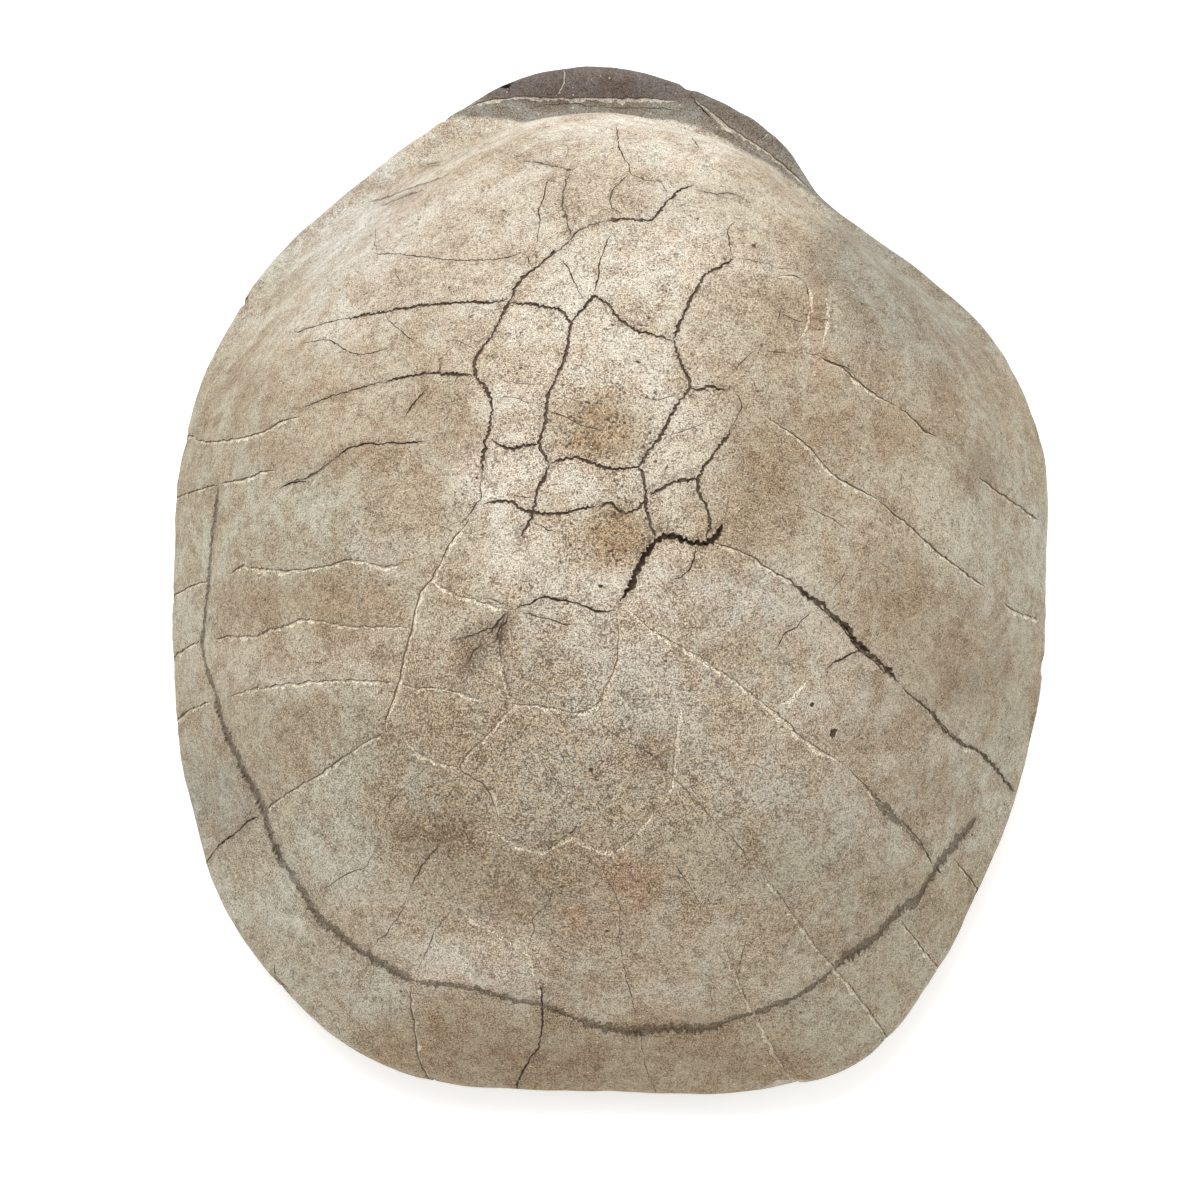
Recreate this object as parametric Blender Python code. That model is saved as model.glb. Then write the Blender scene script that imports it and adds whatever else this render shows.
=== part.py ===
"""Fossil tortoise shell, one solid piece of stone and bone.

The domed upper shell, its flared rim, the flat lower shell and the stone that fills
the openings between them have turned to one mass. Metres, +Z up. The head end points
along +Y and the animal's right side along +X. The origin is at the middle of the
shell's box, on the surface that the lower shell rests on.
"""
import math

import bmesh
import bpy
import numpy as np
from mathutils import Matrix, Vector, noise
from mathutils.bvhtree import BVHTree

# Driving sizes
SHELL_WIDTH = 0.298
SHELL_LENGTH = 0.356
SHELL_HEIGHT = 0.158

# Faces of the plain form: strips round the shell and rings from the top to the belly
STRIPS = 72
RINGS_TO_RIM = 22
RINGS_UNDER_RIM = 6

# A section runs from the top of the dome, over the rim, to the middle of the belly.
# RUN is how far along it each point lies. A point is its share of the rim's reach and
# its share of the shell's height.
RUN = (0, 0.12, 0.25, 0.37, 0.47, 0.55, 0.615, 0.665, 0.70, 0.745, 0.79, 0.83, 0.86, 1)
RIM_RUN = 0.665
BELLY_RUN = 0.86
HEAD_END = (
    (0, 1), (0.22, 0.985), (0.44, 0.925), (0.64, 0.80), (0.77, 0.64), (0.85, 0.475),
    (0.90, 0.385), (0.985, 0.40), (1, 0.355), (0.90, 0.30), (0.76, 0.19), (0.70, 0.075),
    (0.68, 0), (0, 0),
)
RIGHT_FORELEG = (
    (0, 1), (0.25, 0.985), (0.50, 0.925), (0.69, 0.79), (0.80, 0.60), (0.88, 0.43),
    (0.95, 0.34), (1, 0.30), (0.99, 0.25), (0.90, 0.23), (0.72, 0.15), (0.58, 0.07),
    (0.56, 0), (0, 0),
)
LEFT_FORELEG = (
    (0, 1), (0.24, 0.975), (0.47, 0.89), (0.68, 0.73), (0.80, 0.555), (0.885, 0.42),
    (0.95, 0.34), (1, 0.30), (0.99, 0.25), (0.90, 0.23), (0.72, 0.15), (0.58, 0.07),
    (0.56, 0), (0, 0),
)
BRIDGE = (
    (0, 1), (0.25, 0.975), (0.50, 0.885), (0.72, 0.72), (0.845, 0.555), (0.92, 0.43),
    (0.97, 0.33), (1, 0.235), (0.995, 0.15), (0.975, 0.075), (0.94, 0.03), (0.90, 0.01),
    (0.84, 0), (0, 0),
)
HINDLEG = (
    (0, 1), (0.24, 0.97), (0.48, 0.865), (0.70, 0.67), (0.83, 0.48), (0.91, 0.33),
    (0.965, 0.23), (1, 0.165), (0.99, 0.12), (0.90, 0.12), (0.75, 0.10), (0.63, 0.055),
    (0.61, 0), (0, 0),
)
TAIL_END = (
    (0, 1), (0.24, 0.97), (0.48, 0.865), (0.70, 0.67), (0.82, 0.47), (0.895, 0.315),
    (0.955, 0.205), (1, 0.11), (0.985, 0.055), (0.92, 0.065), (0.84, 0.055), (0.76, 0.04),
    (0.74, 0), (0, 0),
)
# Direction of each section, in degrees from the animal's right side towards its head
SECTION_DIRECTIONS = (0, 48, 90, 132, 180, 228, 270, 312, 360)
SECTION_ORDER = (
    BRIDGE, RIGHT_FORELEG, HEAD_END, LEFT_FORELEG, BRIDGE, HINDLEG, TAIL_END, HINDLEG, BRIDGE,
)

# Outline of the rim from above: direction in degrees and share of half the width
RIM_OUTLINE = (
    (0, 1.00), (15, 1.035), (30, 1.035), (43, 1.005), (53, 0.995), (60, 1.005), (68, 1.09),
    (78, 1.135), (90, 1.185), (102, 1.175), (114, 1.115), (126, 1.075), (140, 1.055),
    (155, 1.03), (170, 1.005), (185, 0.99), (200, 1.035), (212, 1.095), (224, 1.165),
    (236, 1.225), (248, 1.245), (260, 1.21), (272, 1.20), (284, 1.235), (296, 1.265),
    (306, 1.20), (316, 1.13), (328, 1.07), (342, 1.02),
)
# Even oval that the top of the dome follows: half width, half length, and how far
# its middle stands towards the tail
DOME_HALF_WIDTH = 0.149
DOME_HALF_LENGTH = 0.178
DOME_MIDDLE_BACK = 0.009

# Gentle swells of the surface
SWELL_HEIGHT = 0.0011
SWELL_LENGTH = 0.034

# Where the photograph was taken from, with pixels in its 1200 by 1200 frame.
# Grooves are drawn on the photograph and thrown from there onto the shell.
PHOTO_MIDDLE = 600
PHOTO_FOCAL_PIXELS = 2857
PHOTO_TILT = math.radians(70)
PHOTO_DISTANCE = 0.94
PHOTO_TARGET = Vector((-0.0042, -0.0230, 0.060))
PIXELS_PER_STEP = 40

# Half width of each kind of groove
OPEN_CRACK = 0.0019
SUTURE = 0.0012
MARGIN_GROOVE = 0.0024
SEAM = 0.0013
# A groove's cutter stands this share of its half width above the surface
CUTTER_LIFT = 0.25
# A seam runs on over the edge of the rim by this much
SEAM_DROP = 0.010

OPEN_CRACKS = {
    "middle": ((622, 600), (631, 584), (646, 556), (656, 541), (672, 537), (695, 545), (713, 540), (722, 527)),
    "right": ((713, 542), (765, 569), (815, 598), (845, 625), (869, 650), (898, 681)),
}
SUTURES = {
    "neural_left": ((510, 300), (497, 324), (481, 351), (475, 374), (491, 398), (490, 426), (483, 460), (480, 496)),
    "first_rib": ((507, 301), (469, 302), (431, 305), (389, 311), (348, 319), (300, 331)),
    "neural_right": ((510, 302), (556, 307), (570, 323), (565, 360), (551, 388), (540, 443), (550, 463)),
    "plate_top": ((570, 323), (595, 297), (622, 318), (645, 333), (673, 340)),
    "shoulder": ((673, 340), (686, 310), (703, 277), (733, 259), (757, 262)),
    "plate_right": ((673, 340), (689, 388), (668, 415), (651, 445), (638, 468)),
    "shoulder_low": ((689, 388), (712, 386), (740, 403), (731, 430), (700, 473), (708, 513), (706, 538)),
    "plate_foot": ((550, 463), (577, 458), (609, 469), (638, 468), (646, 506), (655, 538)),
    "lower_plate_foot": ((457, 520), (482, 503), (512, 502), (545, 514), (615, 505), (645, 500)),
    "left_plate_foot": ((491, 439), (512, 447), (540, 443)),
    "lower_plate_left": ((550, 463), (537, 490), (532, 516), (521, 536)),
    "right_plate_foot": ((648, 494), (668, 484), (697, 478)),
    "nuchal": ((510, 300), (526, 276), (553, 252), (582, 228), (615, 220), (650, 220), (667, 203), (692, 185)),
    "second_rib": ((475, 374), (437, 374), (386, 382), (341, 393), (300, 410)),
    "third_rib": ((421, 443), (386, 443), (354, 446), (335, 458), (313, 479), (282, 487)),
    "right_tail": ((898, 681), (918, 702), (949, 733), (980, 751), (1010, 788)),
}
MARGIN_GROOVES = {
    "ring": (
        (217, 500), (211, 564), (205, 640), (217, 698), (242, 766), (262, 806), (287, 864),
        (318, 915), (348, 940), (380, 960), (415, 979), (459, 985), (508, 996), (557, 1012),
        (600, 1025), (650, 1029), (704, 1028), (749, 1013), (798, 996), (834, 968),
        (870, 940), (900, 914), (930, 880), (955, 845), (975, 818),
    ),
}
SEAMS = {
    "fourth_rib": ((230, 572), (278, 570), (330, 567), (402, 564)),
    "fifth_rib": ((214, 637), (258, 637), (303, 621), (348, 627), (410, 628)),
    "sixth_rib": ((230, 695), (268, 687), (329, 682), (399, 682)),
    "seventh_rib": ((264, 812), (300, 785), (340, 759), (388, 733)),
    "right_third_rib": ((749, 405), (787, 432), (831, 476), (881, 503), (932, 547), (985, 587)),
    "right_second_rib": ((820, 354), (854, 371), (905, 415), (932, 439), (973, 469), (1025, 508)),
    "right_fifth_rib": ((624, 604), (655, 632), (701, 659), (774, 711), (845, 766), (906, 824), (933, 864)),
    "vertebral_left": ((466, 526), (432, 580), (415, 605), (407, 653), (399, 682), (387, 730)),
    "vertebral_foot": ((387, 733), (424, 760), (458, 768), (510, 704), (580, 714), (603, 698), (618, 655), (618, 612)),
    "vertebral_top": ((432, 580), (469, 599), (504, 610), (549, 598), (600, 612), (618, 612)),
    "low_scute": ((458, 822), (491, 830), (544, 851), (580, 833), (608, 851), (641, 826), (672, 785), (678, 705)),
}
RIM_SEAMS = {
    "left_1": ((240, 435), (215, 441), (191, 436)),
    "left_2": ((271, 471), (220, 484), (177, 497)),
    "left_3": ((209, 584), (172, 596)),
    "left_4": ((201, 640), (172, 658)),
    "left_5": ((214, 701), (179, 720)),
    "left_6": ((262, 814), (233, 838), (208, 862)),
    "left_7": ((308, 900), (280, 945), (275, 985)),
    "tail_1": ((412, 983), (414, 1037), (432, 1083)),
    "tail_2": ((541, 1000), (541, 1036), (516, 1089)),
    "tail_3": ((622, 936), (640, 1028), (655, 1091)),
    "tail_4": ((718, 940), (754, 1014), (801, 1086)),
    "right_1": ((770, 880), (834, 968), (889, 1042)),
    "right_2": ((955, 861), (981, 898)),
}
# Bites out of the rim: pixel, how deep and how tall
RIM_BITES = {
    "tail": ((785, 1089), 0.0045, 0.020),
    "tail_left": ((277, 988), 0.0030, 0.016),
    "collar_right": ((691, 91), 0.0024, 0.014),
    "collar_left": ((507, 86), 0.0016, 0.014),
    "right": ((1033, 724), 0.0026, 0.018),
}

BONE_COLOUR = (0.40, 0.33, 0.23, 1)
BONE_ROUGHNESS = 0.85
SHARP_EDGE = math.radians(40)


def clear_scene():
    """Take away whatever the new file holds."""
    for thing in list(bpy.data.objects):
        bpy.data.objects.remove(thing)


def smooth_through(knots, values, at):
    """Smooth curve through values at uneven knots."""
    slope = np.gradient(values, knots)
    low = np.clip(np.searchsorted(knots, at, side="right") - 1, 0, len(knots) - 2)
    step = knots[low + 1] - knots[low]
    t = (at - knots[low]) / step
    rise = values[low] * (2 * t**3 - 3 * t**2 + 1) + values[low + 1] * (3 * t**2 - 2 * t**3)
    lean = slope[low] * (t**3 - 2 * t**2 + t) + slope[low + 1] * (t**3 - t**2)
    return rise + lean * step


def rim_reach(direction):
    """How far the rim reaches from the shell's axis."""
    degrees, shares = np.array(RIM_OUTLINE).T
    knots = np.concatenate([degrees - 360, degrees, degrees + 360])
    share = smooth_through(knots, np.tile(shares, 3), direction % 360)
    return share * SHELL_WIDTH / 2


def dome_reach(direction):
    """How far the even oval of the dome reaches."""
    turn = math.radians(direction)
    oval = DOME_HALF_WIDTH * math.cos(turn) ** 2 + DOME_HALF_LENGTH * math.sin(turn) ** 2
    return oval - DOME_MIDDLE_BACK * math.sin(turn)


def section_point(section, run):
    """A section's share of reach and share of height, with no kink at either end."""
    knots = np.array(RUN)
    points = np.array(section, float)
    mirror = (-1, 1)
    knots = np.concatenate([-knots[2:0:-1], knots, 2 - knots[-2:-4:-1]])
    points = np.concatenate([points[2:0:-1] * mirror, points, points[-2:-4:-1] * mirror])
    return [smooth_through(knots, points[:, axis], run) for axis in (0, 1)]


def form_point(direction, run):
    """A point of the shell's plain form."""
    degrees = np.array(SECTION_DIRECTIONS)
    first = int(np.clip(np.searchsorted(degrees, direction, side="right") - 1, 0, len(degrees) - 2))
    t = (direction - degrees[first]) / (degrees[first + 1] - degrees[first])
    blend = t * t * (3 - 2 * t)
    here = section_point(SECTION_ORDER[first], run)
    there = section_point(SECTION_ORDER[first + 1], run)
    share = here[0] * (1 - blend) + there[0] * blend
    height = max(here[1] * (1 - blend) + there[1] * blend, 0)
    edge = min(max(share, 0), 1) ** 2
    reach = share * (dome_reach(direction) * (1 - edge) + rim_reach(direction) * edge)
    turn = math.radians(direction)
    return Vector((reach * math.cos(turn), reach * math.sin(turn), height * SHELL_HEIGHT))


def ring_run(ring):
    """How far down the section a ring of the ball goes."""
    rings = RINGS_TO_RIM + RINGS_UNDER_RIM + 1
    if ring <= RINGS_TO_RIM:
        return RIM_RUN * ring / RINGS_TO_RIM
    if ring == rings:
        return 1
    return RIM_RUN + (BELLY_RUN - RIM_RUN) * (ring - RINGS_TO_RIM) / RINGS_UNDER_RIM


def make_form():
    """The whole shell with no grooves, from a ball whose rings take the sections' shape."""
    mesh = bmesh.new()
    rings = RINGS_TO_RIM + RINGS_UNDER_RIM + 1
    bmesh.ops.create_uvsphere(mesh, u_segments=STRIPS, v_segments=rings, radius=1)
    for vertex in mesh.verts:
        ring = round(math.acos(max(-1, min(1, vertex.co.z))) / math.pi * rings)
        direction = math.degrees(math.atan2(vertex.co.y, vertex.co.x)) % 360
        vertex.co = form_point(direction, ring_run(ring))
    mesh.normal_update()
    for vertex in mesh.verts:
        if vertex.co.z > 0.02 * SHELL_HEIGHT:
            swell = noise.noise(vertex.co / SWELL_LENGTH)
            vertex.co += vertex.normal * swell * SWELL_HEIGHT
    fit_to_size(mesh)
    return mesh


def fit_to_size(mesh):
    """Bring the form to the driving sizes, centred, and standing on the ground."""
    places = np.array([vertex.co for vertex in mesh.verts])
    low, high = places.min(0), places.max(0)
    middle = Vector(((low[0] + high[0]) / 2, (low[1] + high[1]) / 2, low[2]))
    size = Vector((SHELL_WIDTH, SHELL_LENGTH, SHELL_HEIGHT))
    scale = Matrix.Diagonal([size[axis] / (high[axis] - low[axis]) for axis in range(3)])
    bmesh.ops.translate(mesh, verts=mesh.verts, vec=-middle)
    bmesh.ops.transform(mesh, verts=mesh.verts, matrix=scale.to_4x4())


def on_shell(tree, pixel):
    """Where a pixel of the photograph falls on the shell, and which way the shell faces there."""
    column, row = pixel
    ahead = Vector((0, math.cos(PHOTO_TILT), -math.sin(PHOTO_TILT)))
    above = Vector((0, math.sin(PHOTO_TILT), math.cos(PHOTO_TILT)))
    eye = PHOTO_TARGET - ahead * PHOTO_DISTANCE
    sight = ahead * PHOTO_FOCAL_PIXELS
    sight = sight + Vector((column - PHOTO_MIDDLE, 0, 0)) + above * (PHOTO_MIDDLE - row)
    sight.normalize()
    place, facing, _, _ = tree.ray_cast(eye, sight)
    if place is None:
        place, facing, _, _ = tree.find_nearest(eye + sight * PHOTO_DISTANCE)
    return place, facing


def groove_line(tree, pixels, half_width, over_rim):
    """Points of a groove's cutter, a little above the shell."""
    line = []
    for start, end in zip(pixels, pixels[1:]):
        steps = max(1, math.ceil(math.dist(start, end) / PIXELS_PER_STEP))
        for step in range(steps):
            share = step / steps
            line.append([a + (b - a) * share for a, b in zip(start, end)])
    line.append(pixels[-1])
    points = []
    for pixel in line:
        place, facing = on_shell(tree, pixel)
        points.append(place + facing * half_width * CUTTER_LIFT)
    if over_rim:
        under = points[-1] - Vector((0, 0, SEAM_DROP))
        place, facing, _, _ = tree.find_nearest(under)
        points.append(place + facing * half_width * CUTTER_LIFT)
    return points


def add_grooves(cutters, tree, routes, half_width, over_rim=False):
    """Add the tubes that cut one kind of groove."""
    curve = bpy.data.curves.new("groove_line", "CURVE")
    curve.dimensions = "3D"
    curve.bevel_depth = half_width
    curve.bevel_resolution = 0
    curve.use_fill_caps = True
    for pixels in routes.values():
        points = groove_line(tree, pixels, half_width, over_rim)
        spline = curve.splines.new("POLY")
        spline.points.add(len(points) - 1)
        for point, place in zip(spline.points, points):
            point.co = (*place, 1)
    line = bpy.data.objects.new("groove_line", curve)
    bpy.context.scene.collection.objects.link(line)
    cutters.from_mesh(bpy.data.meshes.new_from_object(line))
    bpy.data.objects.remove(line)


def add_bites(cutters, tree):
    """Add wedges that bite into the rim, corner first."""
    for pixel, depth, height in RIM_BITES.values():
        place, _ = on_shell(tree, pixel)
        outward = Vector((place.x, place.y, 0)).normalized()
        side = depth * 2
        turn = math.atan2(outward.y, outward.x) + math.pi / 4
        middle = place + outward * (side / math.sqrt(2) - depth)
        where = Matrix.Translation(middle) @ Matrix.Rotation(turn, 4, "Z")
        size = Matrix.Diagonal((side, side, height, 1))
        bmesh.ops.create_cube(cutters, size=1, matrix=where @ size)


def make_cutter(tree):
    """Everything that is cut into the plain form, as one cutter."""
    cutters = bmesh.new()
    add_grooves(cutters, tree, MARGIN_GROOVES, MARGIN_GROOVE)
    add_grooves(cutters, tree, SEAMS, SEAM)
    add_grooves(cutters, tree, RIM_SEAMS, SEAM, over_rim=True)
    add_grooves(cutters, tree, SUTURES, SUTURE)
    add_grooves(cutters, tree, OPEN_CRACKS, OPEN_CRACK)
    add_bites(cutters, tree)
    shape = bpy.data.meshes.new("grooves_and_bites")
    cutters.to_mesh(shape)
    cutters.free()
    cutter = bpy.data.objects.new("grooves_and_bites", shape)
    bpy.context.scene.collection.objects.link(cutter)
    cutter.hide_render = True
    cutter.display_type = "WIRE"
    return cutter


def bone_material():
    """Warm grey-brown stone-like bone."""
    material = bpy.data.materials.new("fossil_bone")
    material.use_nodes = True
    shader = material.node_tree.nodes["Principled BSDF"]
    shader.inputs["Base Color"].default_value = BONE_COLOUR
    shader.inputs["Roughness"].default_value = BONE_ROUGHNESS
    shader.inputs["Metallic"].default_value = 0
    return material


def cut(thing, cutter):
    """Take the cutter's shape out of a piece."""
    boolean = thing.modifiers.new("grooves", "BOOLEAN")
    boolean.operation = "DIFFERENCE"
    boolean.solver = "EXACT"
    boolean.use_self = True
    boolean.object = cutter


def make_shell():
    """The shell, grooved and bitten."""
    form = make_form()
    tree = BVHTree.FromBMesh(form)
    shape = bpy.data.meshes.new("fossil_shell")
    form.to_mesh(shape)
    form.free()
    shape.shade_smooth()
    shape.set_sharp_from_angle(angle=SHARP_EDGE)
    shape.materials.append(bone_material())
    shell = bpy.data.objects.new("fossil_shell", shape)
    bpy.context.scene.collection.objects.link(shell)
    cut(shell, make_cutter(tree))


clear_scene()
make_shell()
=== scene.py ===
"""Fossil tortoise shell: the fine surface, cracks, stains and finish, in a plain studio.

The shell is one piece of mineralised bone and stone. Its plain form follows the same
sections and rim outline as the solid that it stands for. Cracks, seams and stains are
drawn on the photograph, as pixels of its 1200 by 1200 frame, and thrown from the
photograph's viewpoint onto the form.
"""
import logging
import math
import random
from collections.abc import Iterable
from dataclasses import dataclass, field
from enum import Enum

import bmesh
import bpy
import numpy as np
from mathutils import Matrix, Vector, noise
from mathutils.bvhtree import BVHTree
from mathutils.kdtree import KDTree

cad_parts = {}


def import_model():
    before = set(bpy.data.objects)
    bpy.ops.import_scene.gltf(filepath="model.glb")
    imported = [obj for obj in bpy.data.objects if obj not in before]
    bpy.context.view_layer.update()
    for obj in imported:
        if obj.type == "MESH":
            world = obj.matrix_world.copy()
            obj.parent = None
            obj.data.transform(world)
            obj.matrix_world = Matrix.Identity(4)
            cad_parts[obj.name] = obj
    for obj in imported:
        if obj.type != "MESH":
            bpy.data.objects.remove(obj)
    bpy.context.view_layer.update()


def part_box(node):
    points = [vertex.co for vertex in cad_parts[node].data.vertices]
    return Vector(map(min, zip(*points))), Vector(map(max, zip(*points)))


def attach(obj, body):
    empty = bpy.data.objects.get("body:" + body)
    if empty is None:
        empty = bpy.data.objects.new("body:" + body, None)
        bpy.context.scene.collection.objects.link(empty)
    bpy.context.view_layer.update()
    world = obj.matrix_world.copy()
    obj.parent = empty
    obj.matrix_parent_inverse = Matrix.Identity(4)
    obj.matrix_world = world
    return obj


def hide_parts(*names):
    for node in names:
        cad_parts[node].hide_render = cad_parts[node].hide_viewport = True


log = logging.getLogger("fossil_shell")

Pixel = tuple[float, float]
Colour = tuple[float, float, float]
Station = tuple[Vector, Vector]

NODE = "fossil_shell"

# A section runs from the top of the dome, over the rim, to the middle of the belly.
# RUN is how far along it each point lies. A point is its share of the rim's reach and
# its share of the shell's height.
RUN = (0, 0.12, 0.25, 0.37, 0.47, 0.55, 0.615, 0.665, 0.70, 0.745, 0.79, 0.83, 0.86, 1)
RIM_RUN = 0.665
HEAD_END = (
    (0, 1), (0.22, 0.985), (0.44, 0.925), (0.64, 0.80), (0.77, 0.64), (0.85, 0.475),
    (0.90, 0.385), (0.985, 0.40), (1, 0.355), (0.90, 0.30), (0.76, 0.19), (0.70, 0.075),
    (0.68, 0), (0, 0),
)
RIGHT_FORELEG = (
    (0, 1), (0.25, 0.985), (0.50, 0.925), (0.69, 0.79), (0.80, 0.60), (0.88, 0.43),
    (0.95, 0.34), (1, 0.30), (0.99, 0.25), (0.90, 0.23), (0.72, 0.15), (0.58, 0.07),
    (0.56, 0), (0, 0),
)
LEFT_FORELEG = (
    (0, 1), (0.24, 0.975), (0.47, 0.89), (0.68, 0.73), (0.80, 0.555), (0.885, 0.42),
    (0.95, 0.34), (1, 0.30), (0.99, 0.25), (0.90, 0.23), (0.72, 0.15), (0.58, 0.07),
    (0.56, 0), (0, 0),
)
BRIDGE = (
    (0, 1), (0.25, 0.975), (0.50, 0.885), (0.72, 0.72), (0.845, 0.555), (0.92, 0.43),
    (0.97, 0.33), (1, 0.235), (0.995, 0.15), (0.975, 0.075), (0.94, 0.03), (0.90, 0.01),
    (0.84, 0), (0, 0),
)
HINDLEG = (
    (0, 1), (0.24, 0.97), (0.48, 0.865), (0.70, 0.67), (0.83, 0.48), (0.91, 0.33),
    (0.965, 0.23), (1, 0.165), (0.99, 0.12), (0.90, 0.12), (0.75, 0.10), (0.63, 0.055),
    (0.61, 0), (0, 0),
)
TAIL_END = (
    (0, 1), (0.24, 0.97), (0.48, 0.865), (0.70, 0.67), (0.82, 0.47), (0.895, 0.315),
    (0.955, 0.205), (1, 0.11), (0.985, 0.055), (0.92, 0.065), (0.84, 0.055), (0.76, 0.04),
    (0.74, 0), (0, 0),
)
# Direction of each section, in degrees from the animal's right side towards its head
SECTION_DIRECTIONS = (0, 48, 90, 132, 180, 228, 270, 312, 360)
SECTION_ORDER = (
    BRIDGE, RIGHT_FORELEG, HEAD_END, LEFT_FORELEG, BRIDGE, HINDLEG, TAIL_END, HINDLEG, BRIDGE,
)

# Outline of the rim from above: direction in degrees and share of half the width
RIM_OUTLINE = (
    (0, 1.00), (15, 1.035), (30, 1.035), (43, 1.005), (53, 0.995), (60, 1.005), (68, 1.09),
    (78, 1.135), (90, 1.185), (102, 1.175), (114, 1.115), (126, 1.075), (140, 1.055),
    (155, 1.03), (170, 1.005), (185, 0.99), (200, 1.035), (212, 1.095), (224, 1.165),
    (236, 1.225), (248, 1.245), (260, 1.21), (272, 1.20), (284, 1.235), (296, 1.265),
    (306, 1.20), (316, 1.13), (328, 1.07), (342, 1.02),
)


class Tone(Enum):
    """Ground colours of the bone, in linear light, and one shaded copy of ash that is painted shade."""

    CREST = (0.700, 0.640, 0.589)
    CREAM = (0.590, 0.520, 0.449)
    PALE = (0.530, 0.465, 0.396)
    SAND = (0.470, 0.400, 0.321)
    TAN = (0.430, 0.352, 0.273)
    BROWN = (0.365, 0.288, 0.209)
    UMBER = (0.430, 0.315, 0.205)
    DEEP = (0.240, 0.185, 0.134)
    ASH = (0.540, 0.510, 0.487)
    # Ash in shade, for the flanks that turn away from the light: painted shade.
    SHADED_ASH = (0.325, 0.298, 0.252)
    MOSS = (0.440, 0.405, 0.337)
    OLIVE = (0.385, 0.335, 0.262)
    COLLAR = (0.150, 0.125, 0.120)
    COLLAR_RIGHT = (0.210, 0.185, 0.171)
    COLLAR_LOW = (0.260, 0.235, 0.209)
    RUST = (0.420, 0.250, 0.161)


class CrackKind(Enum):
    """What a line on the shell is like."""

    OPEN = "open crack with black depth"
    SUTURE = "saw-toothed seam between plates, dark"
    TIGHT = "short dark crack"
    THIN = "thin crack"
    HAIR = "hairline"
    STAINED = "soft brown line with pits"
    WORN = "shallow brown end of an open crack"
    # The pale lip of a rib seam or scute seam is painted highlight on the slope that faces the light.
    SEAM = "rib seam, dark with a pale lip"
    SULCUS = "pale shallow scute seam"
    MARGIN = "broad ragged groove along the margin plates"
    MARGIN_FINE = "narrow stretch of the margin groove"
    BROKEN = "wide crack with crumbled, part filled edges"
    # The crest edge is a thin bright line: painted highlight along the crown's far edge.
    CREST = "sharp edge between the crown and the collar"
    BELLY = "plate seam of the flat belly"
    STREAK = "soft brown streak in a shallow dip"


class WallSlot(Enum):
    """Material slots of the shell, in order."""

    BONE = 0
    EARTH = 1
    SOIL = 2
    # Lips and the crest edge, brightened as painted highlight.
    HIGHLIT_LIP = 3
    BREAK = 4
    SILT = 5


@dataclass(frozen=True)
class CrackShape:
    """Cross-section and wander of one kind of line, in metres.

    Attributes:
        half_width: Half the width at the surface.
        depth: Depth below the surface.
        step: Mean distance between stations along the line.
        zigzag: How far stations jump from side to side.
        wander: How far the line strays over longer stretches.
        ragged: Share by which width and depth vary.
        floor: Share of the half width that the bottom keeps.
        wall: Material of the walls.
        lip: Reach of the long slope on the side towards the tail, whose pale finish is painted highlight, or
            0 for none.
        valley: Depth of the soft hollow round the line.
        valley_reach: Half width of that hollow.
        soil: How strongly dirt stains the bone beside it.
        soil_reach: How far that stain goes.
    """

    half_width: float
    depth: float
    step: float
    zigzag: float
    wander: float
    ragged: float
    floor: float
    wall: WallSlot
    highlit_lip: float = 0.0
    valley: float = 0.0
    valley_reach: float = 0.002
    soil: float = 0.0
    soil_reach: float = 0.0012


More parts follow.
